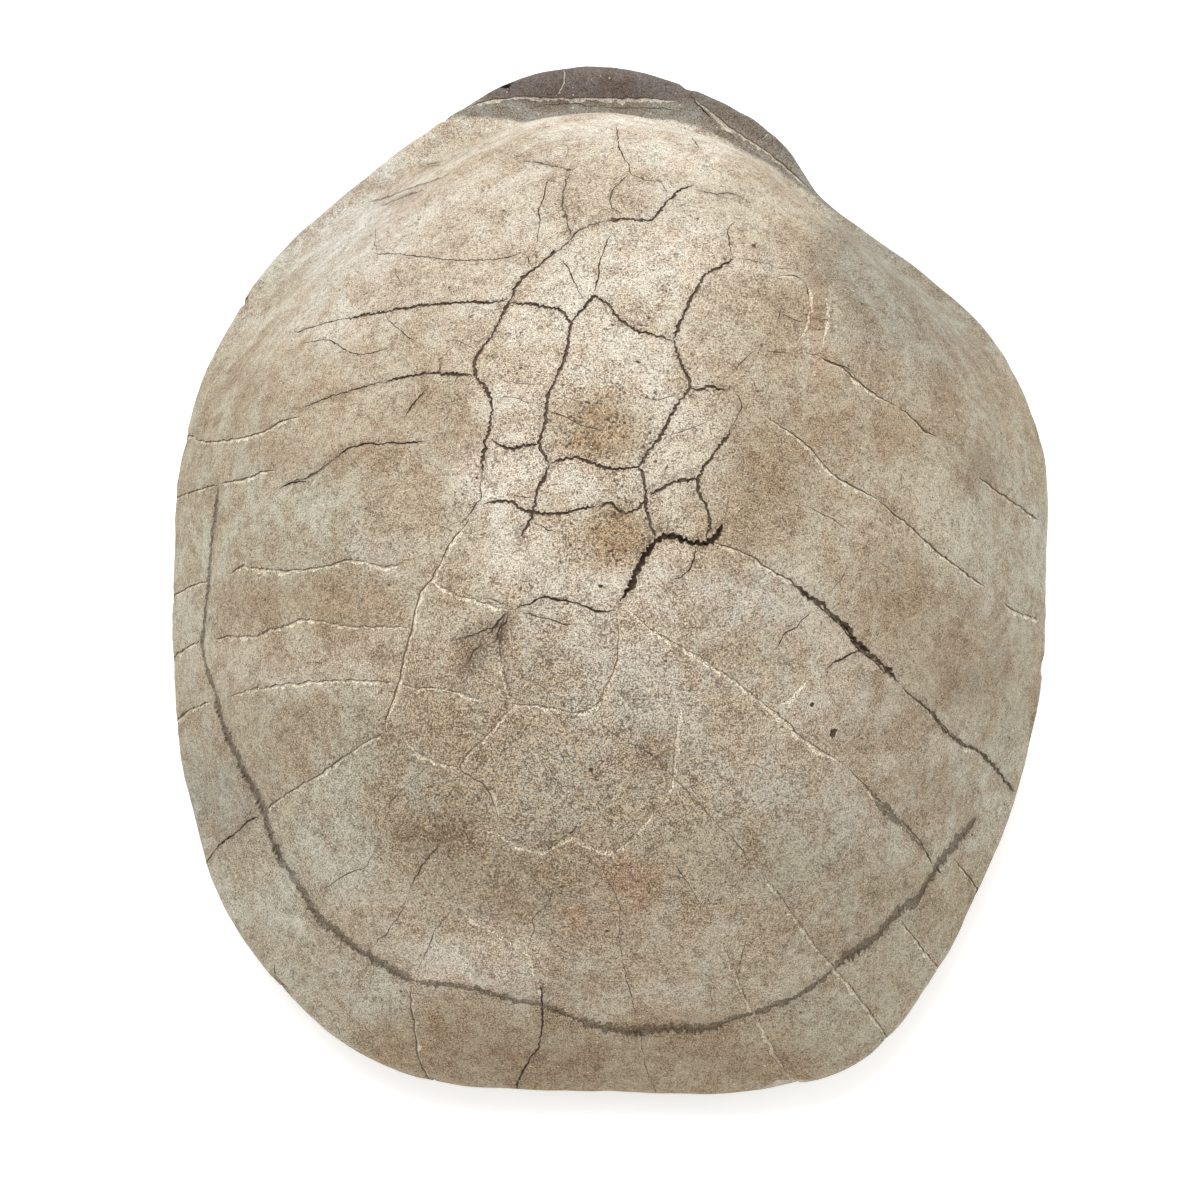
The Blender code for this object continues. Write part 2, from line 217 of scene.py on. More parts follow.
CRACK_SHAPES: dict[CrackKind, CrackShape] = {
    CrackKind.OPEN: CrackShape(
        0.00085, 0.0021, 0.0008, 0.00030, 0.0003, 0.70, 0.50, WallSlot.EARTH,
        valley=0.0004, valley_reach=0.0030, soil=0.50, soil_reach=0.0012),
    CrackKind.SUTURE: CrackShape(
        0.00058, 0.00062, 0.0007, 0.00032, 0.0003, 0.60, 0.40, WallSlot.EARTH,
        valley=0.00018, valley_reach=0.0022, soil=0.40, soil_reach=0.0008),
    CrackKind.TIGHT: CrackShape(
        0.00038, 0.0007, 0.0010, 0.00020, 0.0003, 0.55, 0.3, WallSlot.EARTH,
        soil=0.30, soil_reach=0.0008),
    CrackKind.THIN: CrackShape(
        0.00029, 0.0005, 0.0013, 0.00018, 0.00035, 0.50, 0.0, WallSlot.EARTH,
        soil=0.16, soil_reach=0.0007),
    CrackKind.HAIR: CrackShape(
        0.00021, 0.0004, 0.0018, 0.00014, 0.0004, 0.45, 0.0, WallSlot.EARTH),
    CrackKind.STAINED: CrackShape(
        0.00036, 0.0004, 0.0011, 0.00028, 0.0004, 0.75, 0.3, WallSlot.SOIL,
        valley=0.00010, valley_reach=0.0020, soil=0.50, soil_reach=0.0013),
    CrackKind.WORN: CrackShape(
        0.00070, 0.0007, 0.0010, 0.00022, 0.0003, 0.60, 0.5, WallSlot.SOIL,
        valley=0.00030, valley_reach=0.0030, soil=0.45, soil_reach=0.0016),
    CrackKind.SEAM: CrackShape(
        0.00052, 0.00060, 0.0012, 0.00016, 0.0003, 0.55, 0.0, WallSlot.SOIL,
        highlit_lip=0.00095, valley=0.00035, valley_reach=0.0028, soil=0.15, soil_reach=0.0009),
    CrackKind.SULCUS: CrackShape(
        0.00038, 0.00055, 0.0014, 0.00018, 0.0003, 0.50, 0.0, WallSlot.SOIL,
        highlit_lip=0.00125, valley=0.00032, valley_reach=0.0028),
    CrackKind.MARGIN: CrackShape(
        0.00195, 0.00062, 0.0008, 0.00034, 0.0003, 0.62, 0.62, WallSlot.SILT,
        valley=0.00090, valley_reach=0.0052, soil=0.45, soil_reach=0.0022),
    CrackKind.MARGIN_FINE: CrackShape(
        0.00125, 0.00045, 0.0010, 0.00028, 0.0003, 0.60, 0.60, WallSlot.SILT,
        valley=0.00060, valley_reach=0.0044, soil=0.35, soil_reach=0.0016),
    CrackKind.STREAK: CrackShape(
        0.00100, 0.00022, 0.0012, 0.00040, 0.0004, 0.80, 0.60, WallSlot.SILT,
        valley=0.00020, valley_reach=0.0030),
    CrackKind.BELLY: CrackShape(
        0.00075, 0.00090, 0.0036, 0.00040, 0.0006, 0.45, 0.0, WallSlot.SOIL,
        valley=0.00030, valley_reach=0.0040, soil=0.35, soil_reach=0.0015),
    # Painted highlight line along the crest.
    CrackKind.CREST: CrackShape(
        0.00022, 0.00012, 0.0016, 0.00004, 0.0001, 0.20, 0.0, WallSlot.HIGHLIT_LIP),
    CrackKind.BROKEN: CrackShape(
        0.00092, 0.00110, 0.0009, 0.00030, 0.0003, 0.80, 0.55, WallSlot.SOIL,
        valley=0.00040, valley_reach=0.0030, soil=0.45, soil_reach=0.0012),
}


@dataclass(frozen=True)
class Route:
    """A line on the shell: its kind and the photograph's pixels that it passes through."""

    kind: CrackKind
    pixels: tuple[Pixel, ...]
    over_rim: bool = False


ROUTES: dict[str, Route] = {
    "crack_middle": Route(CrackKind.OPEN, (
        (620, 601), (626, 594), (631, 584), (640, 565), (648, 551), (657, 540), (672, 536), (684, 540),
        (697, 544), (710, 541), (718, 534), (723, 524))),
    "crack_right_start": Route(CrackKind.SEAM, (
        (706, 542), (728, 547), (748, 555), (766, 567), (790, 582), (812, 597))),
    "crack_right": Route(CrackKind.BROKEN, (
        (792, 583), (806, 594), (822, 605), (835, 617), (848, 630), (862, 649), (877, 660), (890, 672),
        (898, 683))),
    "crack_right_dark": Route(CrackKind.TIGHT, (
        (798, 589), (810, 599), (822, 608), (834, 620), (845, 631), (858, 648), (872, 660), (886, 673))),
    "crack_right_mouth": Route(CrackKind.OPEN, ((838, 619), (846, 627), (854, 638), (862, 646), (872, 655))),
    "neural_left": Route(CrackKind.SUTURE, (
        (511, 298), (501, 318), (492, 335), (481, 350), (475, 362), (475, 374), (484, 386), (491, 400),
        (491, 420), (486, 441), (483, 460), (482, 476))),
    "neural_left_low": Route(CrackKind.THIN, ((482, 474), (480, 486), (481, 498), (474, 508), (462, 522))),
    "first_rib": Route(CrackKind.SUTURE, (
        (508, 299), (495, 302), (469, 302), (450, 303), (431, 305), (411, 307), (389, 311), (365, 315),
        (345, 319))),
    "first_rib_out": Route(CrackKind.THIN, ((349, 318), (325, 323), (310, 328), (292, 333))),
    "neural_right": Route(CrackKind.SUTURE, (
        (510, 303), (530, 304), (545, 307), (558, 309), (570, 323), (568, 340), (565, 358), (556, 378),
        (549, 395), (546, 412), (543, 430), (540, 443), (543, 454), (551, 464))),
    "plate_top": Route(CrackKind.SUTURE, (
        (570, 323), (582, 310), (595, 297), (609, 306), (620, 319), (634, 329), (650, 334), (673, 340))),
    "shoulder": Route(CrackKind.SUTURE, (
        (673, 340), (680, 322), (687, 307), (696, 290), (703, 277), (718, 268), (733, 259))),
    "shoulder_out": Route(CrackKind.THIN, ((733, 259), (746, 259), (758, 262), (768, 264))),
    "shoulder_in": Route(CrackKind.THIN, ((738, 220), (728, 228), (729, 242), (733, 259))),
    "plate_right": Route(CrackKind.SUTURE, (
        (673, 340), (678, 355), (685, 371), (689, 388), (680, 402), (670, 417), (661, 435), (650, 450),
        (642, 461), (637, 468))),
    "shoulder_low": Route(CrackKind.SUTURE, ((689, 389), (700, 389), (710, 386), (718, 389), (728, 391))),
    "right_neural": Route(CrackKind.THIN, ((734, 390), (742, 404), (737, 417), (731, 430))),
    "right_neural_low": Route(CrackKind.SUTURE, (
        (731, 430), (722, 444), (713, 455), (704, 467), (699, 480), (699, 492), (706, 506), (709, 520),
        (706, 540))),
    "plate_foot": Route(CrackKind.SUTURE, (
        (550, 464), (564, 459), (577, 458), (592, 463), (609, 469), (624, 468), (638, 468), (645, 484),
        (645, 503), (649, 520), (656, 540))),
    "lower_foot": Route(CrackKind.SUTURE, (
        (484, 503), (498, 502), (513, 502), (520, 509), (535, 513), (550, 514), (565, 513), (580, 509),
        (597, 506))),
    "lower_foot_right": Route(CrackKind.SUTURE, (
        (597, 506), (612, 505), (620, 511), (630, 513), (640, 506), (647, 500))),
    "left_foot": Route(CrackKind.SUTURE, ((491, 439), (501, 445), (514, 448), (527, 446), (541, 442))),
    "lower_left": Route(CrackKind.SUTURE, (
        (550, 464), (543, 479), (537, 490), (535, 502), (532, 517), (521, 536))),
    "right_foot": Route(CrackKind.SUTURE, ((650, 495), (660, 489), (669, 484), (682, 481), (699, 478))),
    "nuchal_left": Route(CrackKind.SUTURE, (
        (511, 299), (516, 288), (523, 277), (534, 269), (545, 261), (554, 253))),
    "nuchal_middle": Route(CrackKind.STAINED, ((554, 253), (566, 245), (574, 234), (588, 226), (606, 221))),
    "nuchal_right": Route(CrackKind.SUTURE, (
        (606, 220), (622, 219), (640, 220), (650, 220), (659, 212), (668, 201), (680, 190), (693, 185))),
    "nuchal_far": Route(CrackKind.STAINED, ((700, 190), (716, 194), (730, 193), (744, 199))),
    "second_rib": Route(CrackKind.SUTURE, (
        (476, 374), (462, 375), (446, 374), (430, 373), (418, 375), (400, 378), (385, 382))),
    "second_rib_out": Route(CrackKind.STAINED, (
        (385, 382), (370, 385), (350, 391), (330, 397), (316, 402), (300, 409))),
    "third_rib": Route(CrackKind.TIGHT, (
        (425, 441), (408, 443), (388, 443), (370, 444), (354, 446), (344, 451), (335, 459))),
    "top_left_bar": Route(CrackKind.STAINED, ((422, 167), (430, 164), (438, 163), (446, 160))),
    "top_left_bar_low": Route(CrackKind.STAINED, ((424, 169), (432, 166), (440, 165))),
    "top_left_streak": Route(CrackKind.STREAK, ((366, 203), (388, 197), (408, 189), (430, 182), (452, 174))),
    "top_left_streak_low": Route(CrackKind.STREAK, ((380, 206), (404, 197), (424, 190))),
    "third_rib_gap": Route(CrackKind.STAINED, ((283, 487), (296, 480), (309, 477), (325, 465), (339, 455))),
    "third_rib_out": Route(CrackKind.HAIR, ((335, 459), (324, 468), (311, 478))),
    "third_rib_end": Route(CrackKind.TIGHT, ((309, 481), (297, 482), (288, 484), (280, 489))),
    "crown_top": Route(CrackKind.THIN, (
        (616, 124), (618, 138), (620, 151), (627, 162), (631, 174), (641, 178), (649, 181), (657, 181),
        (665, 188), (667, 200))),
    "crown_ring": Route(CrackKind.THIN, (
        (631, 174), (621, 181), (613, 190), (611, 205), (619, 213), (621, 219))),
    "crown_middle": Route(CrackKind.THIN, (
        (612, 230), (606, 245), (601, 257), (599, 272), (596, 286), (595, 297))),
    "crown_spur": Route(CrackKind.HAIR, ((671, 207), (680, 206), (691, 200))),
    "crown_left_top": Route(CrackKind.STAINED, ((523, 161), (539, 163), (555, 166), (569, 170))),
    "crown_left_loop": Route(CrackKind.HAIR, ((549, 142), (556, 144), (568, 147), (567, 154), (565, 162))),
    "crown_left": Route(CrackKind.STAINED, (
        (570, 172), (566, 183), (563, 195), (563, 208), (567, 220), (569, 230), (572, 240))),
    "crown_left_thin": Route(CrackKind.THIN, (
        (554, 175), (546, 184), (545, 194), (539, 208), (540, 222), (537, 234), (538, 247))),
    "knot_tail": Route(CrackKind.THIN, ((543, 242), (549, 248), (554, 254))),
    "knot_down": Route(CrackKind.THIN, ((554, 254), (566, 265), (573, 278), (579, 291), (585, 301))),
    "left_level": Route(CrackKind.THIN, (
        (372, 254), (400, 254), (425, 257), (450, 260), (480, 260), (503, 258), (525, 251))),
    "left_level_spur": Route(CrackKind.THIN, ((525, 252), (529, 262), (533, 271))),
    "left_upright": Route(CrackKind.HAIR, ((376, 227), (375, 240), (377, 254))),
    "left_drop": Route(CrackKind.HAIR, ((399, 255), (396, 266), (398, 279), (405, 287))),
    "left_slant": Route(CrackKind.HAIR, ((383, 312), (391, 323), (402, 332), (413, 340), (425, 347))),
    "left_slant_in": Route(CrackKind.HAIR, ((441, 337), (443, 340), (458, 341), (470, 346), (480, 353))),
    "left_wave": Route(CrackKind.THIN, (
        (300, 344), (315, 341), (328, 340), (336, 344), (345, 350), (357, 354), (371, 353), (384, 349),
        (396, 344))),
    "left_wave_end": Route(CrackKind.HAIR, ((281, 351), (289, 350), (297, 349))),
    "rib_fork": Route(CrackKind.THIN, ((457, 341), (448, 351), (441, 360))),
    "rib_fork_wide": Route(CrackKind.TIGHT, ((441, 360), (440, 367), (437, 374))),
    "rib_cross": Route(CrackKind.HAIR, ((405, 366), (418, 375), (428, 388))),
    "left_nick": Route(CrackKind.TIGHT, ((429, 387), (420, 396), (412, 405), (404, 419))),
    "third_rib_spur": Route(CrackKind.HAIR, ((421, 448), (428, 457), (435, 463))),
    "plate_across": Route(CrackKind.THIN, (
        (547, 411), (558, 415), (568, 418), (578, 424), (590, 427), (598, 430), (608, 431))),
    "plate_left_top": Route(CrackKind.HAIR, ((491, 398), (510, 397), (525, 401), (546, 405))),
    "plate_left_level": Route(CrackKind.HAIR, ((492, 376), (510, 382), (530, 384), (552, 385))),
    "plate_hair_top": Route(CrackKind.HAIR, ((565, 362), (574, 365), (586, 367), (592, 374), (606, 386))),
    "plate_hair_slant": Route(CrackKind.HAIR, ((553, 387), (563, 396), (576, 401), (584, 412))),
    "plate_vee": Route(CrackKind.HAIR, (
        (623, 371), (633, 383), (643, 393), (652, 400), (668, 397), (688, 391))),
    "plate_right_out": Route(CrackKind.HAIR, (
        (662, 438), (672, 434), (682, 431), (697, 426), (711, 419), (719, 414))),
    "plate_right_in": Route(CrackKind.HAIR, ((660, 435), (650, 430), (640, 427))),
    "neural_hair": Route(CrackKind.HAIR, ((518, 341), (525, 346), (534, 350))),
    "neural_fork": Route(CrackKind.HAIR, ((461, 343), (470, 347), (480, 353))),
    "left_bar": Route(CrackKind.THIN, ((507, 492), (516, 496), (525, 497), (536, 498))),
    "foot_left": Route(CrackKind.THIN, ((529, 521), (538, 525), (547, 528), (557, 533), (565, 536))),
    "foot_left_down": Route(CrackKind.HAIR, ((565, 536), (572, 545), (577, 554), (580, 562))),
    "foot_slant": Route(CrackKind.HAIR, ((522, 549), (530, 556), (538, 562), (545, 567))),
    "left_hook": Route(CrackKind.THIN, ((403, 538), (406, 531), (418, 528))),
    "right_foot_hook": Route(CrackKind.THIN, ((697, 478), (692, 474), (688, 471))),
    "middle_down": Route(CrackKind.TIGHT, (
        (697, 545), (694, 556), (691, 566), (684, 575), (672, 580))),
    "middle_down_low": Route(CrackKind.THIN, ((672, 580), (669, 587), (676, 594), (682, 601))),
    "middle_slant": Route(CrackKind.HAIR, ((648, 570), (658, 578), (667, 587))),
    "right_upright": Route(CrackKind.HAIR, ((728, 495), (727, 508), (724, 523))),
    "right_branch": Route(CrackKind.THIN, (
        (812, 608), (808, 615), (800, 621), (796, 628), (785, 633), (779, 644), (770, 655))),
    "right_branch_end": Route(CrackKind.THIN, ((758, 655), (764, 657), (771, 660))),
    "right_spur": Route(CrackKind.TIGHT, ((861, 649), (852, 653), (844, 658), (834, 663), (826, 669))),
    "right_fork": Route(CrackKind.HAIR, ((858, 562), (850, 567), (844, 573), (840, 580), (827, 597))),
    "right_curl": Route(CrackKind.HAIR, ((799, 505), (811, 508), (824, 515), (838, 523), (852, 532))),
    "right_curl_low": Route(CrackKind.HAIR, ((873, 557), (882, 563), (890, 570), (900, 578))),
    "right_short_a": Route(CrackKind.THIN, ((760, 351), (776, 352), (791, 353))),
    "right_short_b": Route(CrackKind.THIN, ((814, 350), (821, 357), (835, 363), (848, 368), (859, 382))),
    "scratch_a": Route(CrackKind.HAIR, ((719, 383), (733, 372), (745, 359), (752, 352), (760, 350))),
    "scratch_b": Route(CrackKind.HAIR, ((747, 366), (755, 361), (762, 357))),
    "top_right_a": Route(CrackKind.THIN, ((690, 135), (695, 142), (700, 149))),
    "top_right_b": Route(CrackKind.HAIR, ((677, 124), (681, 130), (683, 134))),
    "top_right_c": Route(CrackKind.HAIR, ((700, 149), (712, 153), (724, 154))),
    "top_right_d": Route(CrackKind.HAIR, ((700, 149), (692, 154), (684, 157))),
    "ladder_left": Route(CrackKind.THIN, ((800, 279), (806, 286), (809, 296), (811, 308), (810, 324))),
    "ladder_left_low": Route(CrackKind.HAIR, ((810, 324), (806, 333), (799, 340))),
    "crackle_a": Route(CrackKind.THIN, ((779, 299), (787, 298), (795, 300))),
    "crackle_b": Route(CrackKind.THIN, ((781, 299), (781, 309), (779, 317), (775, 327))),
    "crackle_c": Route(CrackKind.THIN, ((780, 312), (788, 317), (798, 321), (804, 321))),
    "crackle_d": Route(CrackKind.HAIR, ((788, 300), (786, 308), (781, 314))),
    "crackle_e": Route(CrackKind.HAIR, ((761, 264), (770, 264), (774, 267), (795, 269))),
    "collar_crack": Route(CrackKind.TIGHT, (
        (689, 91), (693, 99), (700, 107), (706, 113), (712, 119))),
    "collar_crack_low": Route(CrackKind.HAIR, ((712, 119), (722, 128), (738, 139), (748, 143))),
    "collar_left_crack": Route(CrackKind.TIGHT, ((507, 83), (509, 90), (509, 97))),
    "collar_ridge": Route(CrackKind.SULCUS, (
        (466, 108), (486, 101), (506, 98), (530, 97), (556, 98), (580, 98), (606, 98), (632, 98), (658, 99),
        (676, 101))),
    "collar_ridge_right": Route(CrackKind.SULCUS, (
        (692, 97), (706, 108), (722, 121), (738, 133), (756, 144), (775, 158), (792, 172), (812, 190))),
    "collar_seam": Route(CrackKind.SULCUS, ((564, 70), (564, 78), (561, 88), (556, 96))),
    "collar_seam_right": Route(CrackKind.SULCUS, ((769, 128), (765, 136), (758, 141))),
    "collar_crease": Route(CrackKind.HAIR, (
        (520, 108), (546, 105), (574, 104), (604, 107), (630, 108), (660, 108), (684, 112))),
    # The crest edge takes the lip finish: a painted highlight line along the crown's far edge.
    "crest_edge": Route(CrackKind.CREST, (
        (446, 119), (462, 116), (488, 117), (510, 120), (532, 122), (562, 122), (597, 120), (640, 119),
        (673, 120), (695, 126), (718, 136), (739, 148), (769, 164), (796, 184), (815, 198), (831, 210))),
    "scute_top": Route(CrackKind.TIGHT, (
        (514, 609), (530, 603), (546, 598), (562, 600), (576, 603), (589, 608), (600, 612), (616, 610))),
    "scute_top_low": Route(CrackKind.THIN, ((514, 610), (530, 614), (548, 619), (563, 624), (580, 625))),
    "scute_dots": Route(CrackKind.STAINED, ((505, 612), (501, 632), (500, 650), (503, 668), (509, 690))),
    "star_a": Route(CrackKind.TIGHT, ((512, 609), (504, 616), (497, 622), (492, 631), (483, 637))),
    "star_b": Route(CrackKind.TIGHT, ((507, 612), (506, 622), (499, 630), (496, 640), (488, 645))),
    "star_c": Route(CrackKind.STAINED, ((500, 622), (488, 630), (476, 634), (464, 638), (452, 640))),
    "star_d": Route(CrackKind.STAINED, ((484, 640), (476, 650), (470, 660), (462, 668))),
    "star_e": Route(CrackKind.HAIR, (
        (461, 655), (468, 649), (477, 652), (479, 661), (470, 667), (462, 662))),
    "star_f": Route(CrackKind.THIN, ((512, 609), (500, 602), (484, 598))),
    "low_bits_a": Route(CrackKind.TIGHT, ((549, 820), (553, 826), (558, 829))),
    "low_bits_b": Route(CrackKind.TIGHT, ((565, 832), (573, 832), (577, 824))),
    "low_bits_c": Route(CrackKind.TIGHT, ((546, 851), (555, 845), (565, 838))),
    "low_bits_d": Route(CrackKind.THIN, ((612, 851), (624, 845), (633, 836), (641, 827))),
    "low_bits_e": Route(CrackKind.THIN, ((641, 826), (648, 819), (655, 811))),
    "low_red": Route(CrackKind.HAIR, ((606, 800), (618, 807), (629, 817), (641, 824))),
    "low_left_a": Route(CrackKind.THIN, (
        (443, 839), (434, 850), (424, 864), (414, 880), (408, 894))),
    "low_left_b": Route(CrackKind.HAIR, (
        (408, 894), (402, 910), (393, 924), (384, 935), (371, 948))),
    "low_left_c": Route(CrackKind.THIN, ((460, 838), (451, 848), (447, 859))),
    "low_left_d": Route(CrackKind.HAIR, (
        (456, 904), (446, 917), (437, 927), (432, 938), (427, 951), (418, 968))),
    "low_left_e": Route(CrackKind.HAIR, ((448, 892), (452, 900), (458, 908))),
    "left_scute_foot": Route(CrackKind.HAIR, (
        (379, 842), (373, 855), (367, 865), (352, 872), (336, 881), (316, 894))),
    "left_scute_side": Route(CrackKind.HAIR, (
        (432, 761), (421, 773), (408, 784), (396, 796), (386, 806), (381, 815))),
    "margin_spur": Route(CrackKind.THIN, ((309, 903), (306, 910), (301, 918))),
    "rim_left_7": Route(CrackKind.TIGHT, ((274, 963), (275, 974), (277, 987)), over_rim=True),
    "tail_line_a": Route(CrackKind.HAIR, (
        (552, 880), (551, 897), (544, 908), (534, 917), (533, 932), (527, 950))),
    "tail_line_b": Route(CrackKind.HAIR, (
        (602, 868), (610, 884), (617, 896), (620, 912), (619, 935), (621, 950), (628, 984), (637, 1016))),
    "tail_hair_a": Route(CrackKind.HAIR, (
        (586, 716), (597, 722), (607, 729), (621, 738), (640, 748), (658, 760), (672, 776), (690, 795),
        (706, 812), (722, 828), (740, 847), (758, 868))),
    "tail_hair_b": Route(CrackKind.HAIR, (
        (664, 850), (673, 862), (683, 876), (692, 890), (700, 904), (704, 912))),
    "tail_hair_c": Route(CrackKind.HAIR, ((707, 980), (711, 995), (716, 1010), (719, 1020))),
    "tail_hair_d": Route(CrackKind.HAIR, ((517, 983), (529, 980), (541, 978))),
    "right_tail_hair": Route(CrackKind.HAIR, ((748, 930), (740, 965), (733, 990))),
    "fourth_rib": Route(CrackKind.SEAM, (
        (228, 574), (243, 567), (258, 569), (284, 571), (310, 569), (328, 566), (345, 561), (362, 562),
        (385, 567), (402, 564))),
    "fifth_rib": Route(CrackKind.SEAM, (
        (214, 640), (225, 637), (243, 637), (257, 636), (268, 631), (285, 626), (303, 620), (320, 621),
        (337, 625), (355, 627), (385, 627), (410, 628))),
    "sixth_rib": Route(CrackKind.SEAM, (
        (231, 697), (246, 691), (265, 688), (283, 685), (305, 683), (330, 681), (355, 681), (378, 682),
        (398, 684))),
    "sixth_rib_in": Route(CrackKind.SEAM, ((398, 683), (414, 688), (436, 688), (450, 691), (488, 701))),
    "seventh_rib": Route(CrackKind.SEAM, (
        (264, 812), (280, 799), (300, 786), (320, 775), (337, 762), (356, 749), (374, 738), (390, 731))),
    "left_pale": Route(CrackKind.SULCUS, ((300, 417), (282, 421), (262, 432), (240, 438), (215, 442))),
    "left_second_pale": Route(CrackKind.SEAM, (
        (275, 471), (262, 472), (248, 478), (235, 481), (220, 484))),
    "left_fan": Route(CrackKind.SULCUS, (
        (470, 520), (452, 541), (441, 562), (432, 579), (421, 592), (415, 612), (411, 632), (405, 655),
        (399, 680), (393, 700), (386, 720), (386, 731))),
    "scute_left_top": Route(CrackKind.SULCUS, ((432, 580), (446, 590), (463, 597), (484, 603), (512, 611))),
    "scute_shelf": Route(CrackKind.SULCUS, ((403, 738), (418, 753), (432, 760), (446, 765), (459, 768))),
    "scute_right": Route(CrackKind.SEAM, (
        (617, 612), (619, 632), (619, 652), (614, 672), (605, 690), (598, 704), (580, 713), (560, 711),
        (540, 706), (520, 705), (503, 702))),
    "scute_inner": Route(CrackKind.SULCUS, ((501, 640), (502, 660), (505, 682), (512, 705))),
    "scute_diagonal": Route(CrackKind.SULCUS, (
        (514, 707), (502, 718), (490, 733), (476, 746), (464, 759), (459, 768), (472, 777), (484, 785),
        (492, 799), (499, 818))),
    "scute_low": Route(CrackKind.SULCUS, (
        (463, 828), (480, 829), (497, 833), (514, 843), (533, 851), (548, 850), (564, 838), (578, 838),
        (590, 846), (607, 851), (622, 847), (634, 836), (645, 822), (658, 807), (670, 788), (674, 765),
        (676, 740), (678, 718), (681, 703))),
    "tail_scute_left": Route(CrackKind.SULCUS, (
        (461, 911), (476, 923), (494, 931), (510, 942), (527, 952), (535, 966), (540, 980), (542, 1000))),
    "ladder_arc": Route(CrackKind.SULCUS, ((776, 277), (788, 275), (799, 278), (807, 285))),
    "ladder_edge": Route(CrackKind.SULCUS, (
        (826, 296), (827, 308), (826, 322), (824, 336), (822, 350))),
    "ladder_line": Route(CrackKind.SEAM, ((808, 284), (810, 298), (809, 314), (804, 330), (797, 342))),
    "ladder_rung_a": Route(CrackKind.THIN, ((811, 309), (825, 308))),
    "ladder_rung_b": Route(CrackKind.THIN, ((810, 319), (825, 319))),
    "ladder_rung_c": Route(CrackKind.THIN, ((809, 329), (824, 330))),
    "ladder_rung_d": Route(CrackKind.THIN, ((808, 340), (823, 341))),
    "ladder_foot": Route(CrackKind.THIN, ((806, 351), (814, 355), (821, 351))),
    "right_first_in": Route(CrackKind.SULCUS, (
        (816, 354), (828, 361), (844, 369), (860, 383), (878, 396), (898, 407))),
    "right_first": Route(CrackKind.SEAM, ((900, 408), (909, 415), (917, 423), (926, 431), (937, 437))),
    "right_second": Route(CrackKind.SULCUS, (
        (762, 414), (780, 426), (798, 438), (814, 452), (824, 465), (836, 477), (853, 486), (878, 500))),
    "right_second_out": Route(CrackKind.SEAM, (
        (878, 500), (893, 513), (908, 525), (925, 541), (945, 558), (968, 575), (986, 588))),
    "right_rim_a": Route(CrackKind.SEAM, ((978, 477), (994, 489), (1010, 500), (1024, 510), (1038, 520))),
    "right_rim_b": Route(CrackKind.SULCUS, ((1003, 602), (1015, 611), (1028, 616), (1040, 620))),
    "right_third_far": Route(CrackKind.SEAM, (
        (900, 684), (908, 694), (919, 703), (934, 716), (944, 728), (957, 739), (968, 748), (982, 752))),
    "right_third_rim": Route(CrackKind.WORN, (
        (915, 698), (932, 714), (946, 731), (962, 744), (978, 751), (990, 762), (1001, 775), (1014, 792))),
    "right_fourth": Route(CrackKind.SULCUS, (
        (622, 603), (632, 613), (645, 624), (660, 635), (680, 646), (700, 658), (722, 672), (745, 689),
        (762, 702), (782, 718), (800, 736), (820, 750), (840, 762))),
    "right_fourth_low": Route(CrackKind.SEAM, (
        (846, 766), (858, 779), (871, 793), (884, 807), (900, 821), (912, 833), (922, 845), (932, 865))),
    "right_cross": Route(CrackKind.SULCUS, ((773, 710), (788, 698), (798, 689), (808, 680))),
    "tail_right": Route(CrackKind.SEAM, (
        (764, 876), (778, 894), (792, 914), (805, 932), (820, 953), (833, 967), (846, 982), (860, 1000),
        (876, 1021), (890, 1042)), over_rim=True),
    "tail_right_in": Route(CrackKind.SEAM, (
        (718, 938), (728, 956), (737, 978), (744, 997), (756, 1016), (766, 1036), (777, 1058),
        (790, 1077), (802, 1087)), over_rim=True),
    "tail_middle": Route(CrackKind.HAIR, (
        (637, 1018), (641, 1036), (644, 1058), (648, 1074), (656, 1091)), over_rim=True),
    "tail_left": Route(CrackKind.TIGHT, (
        (541, 982), (542, 1003), (542, 1028), (538, 1047), (528, 1062), (521, 1075), (516, 1089)),
        over_rim=True),
    "tail_left_out": Route(CrackKind.SEAM, (
        (411, 984), (411, 1002), (414, 1022), (417, 1044), (421, 1065), (432, 1083)), over_rim=True),
    "rim_left_1": Route(CrackKind.SEAM, ((226, 440), (208, 442), (197, 440), (189, 435)), over_rim=True),
    "rim_left_2": Route(CrackKind.SEAM, ((220, 484), (205, 488), (192, 492), (176, 498)), over_rim=True),
    "rim_left_3": Route(CrackKind.SEAM, ((209, 582), (197, 584), (184, 590), (171, 597)), over_rim=True),
    "rim_left_4": Route(CrackKind.SEAM, ((202, 640), (192, 645), (182, 651), (170, 660)), over_rim=True),
    "rim_left_5": Route(CrackKind.SEAM, ((213, 701), (202, 705), (190, 710), (178, 719)), over_rim=True),
    "rim_left_6": Route(CrackKind.TIGHT, (
        (260, 815), (247, 822), (236, 833), (222, 843), (214, 851), (207, 862)), over_rim=True),
    "rim_right_1": Route(CrackKind.SEAM, ((955, 861), (965, 872), (974, 884), (983, 899)), over_rim=True),
    "rim_right_2": Route(CrackKind.SULCUS, ((900, 920), (912, 935), (926, 953), (942, 972)), over_rim=True),
    "margin_left": Route(CrackKind.MARGIN_FINE, (
        (218, 487), (216, 510), (212, 540), (210, 565), (209, 583), (206, 605), (204, 630), (203, 652),
        (208, 672), (216, 694))),
    "margin_low_left": Route(CrackKind.MARGIN, (
        (216, 694), (220, 713), (227, 735), (238, 758), (247, 778), (258, 797), (266, 818), (273, 843),
        (285, 865), (297, 883), (309, 903), (324, 922), (343, 937), (358, 950), (380, 961), (400, 975),
        (415, 981))),
    "margin_tail_left": Route(CrackKind.MARGIN_FINE, (
        (415, 981), (437, 984), (460, 986), (480, 990), (500, 996), (520, 1001), (545, 1005), (562, 1013),
        (580, 1020))),
    "margin_tail": Route(CrackKind.MARGIN, (
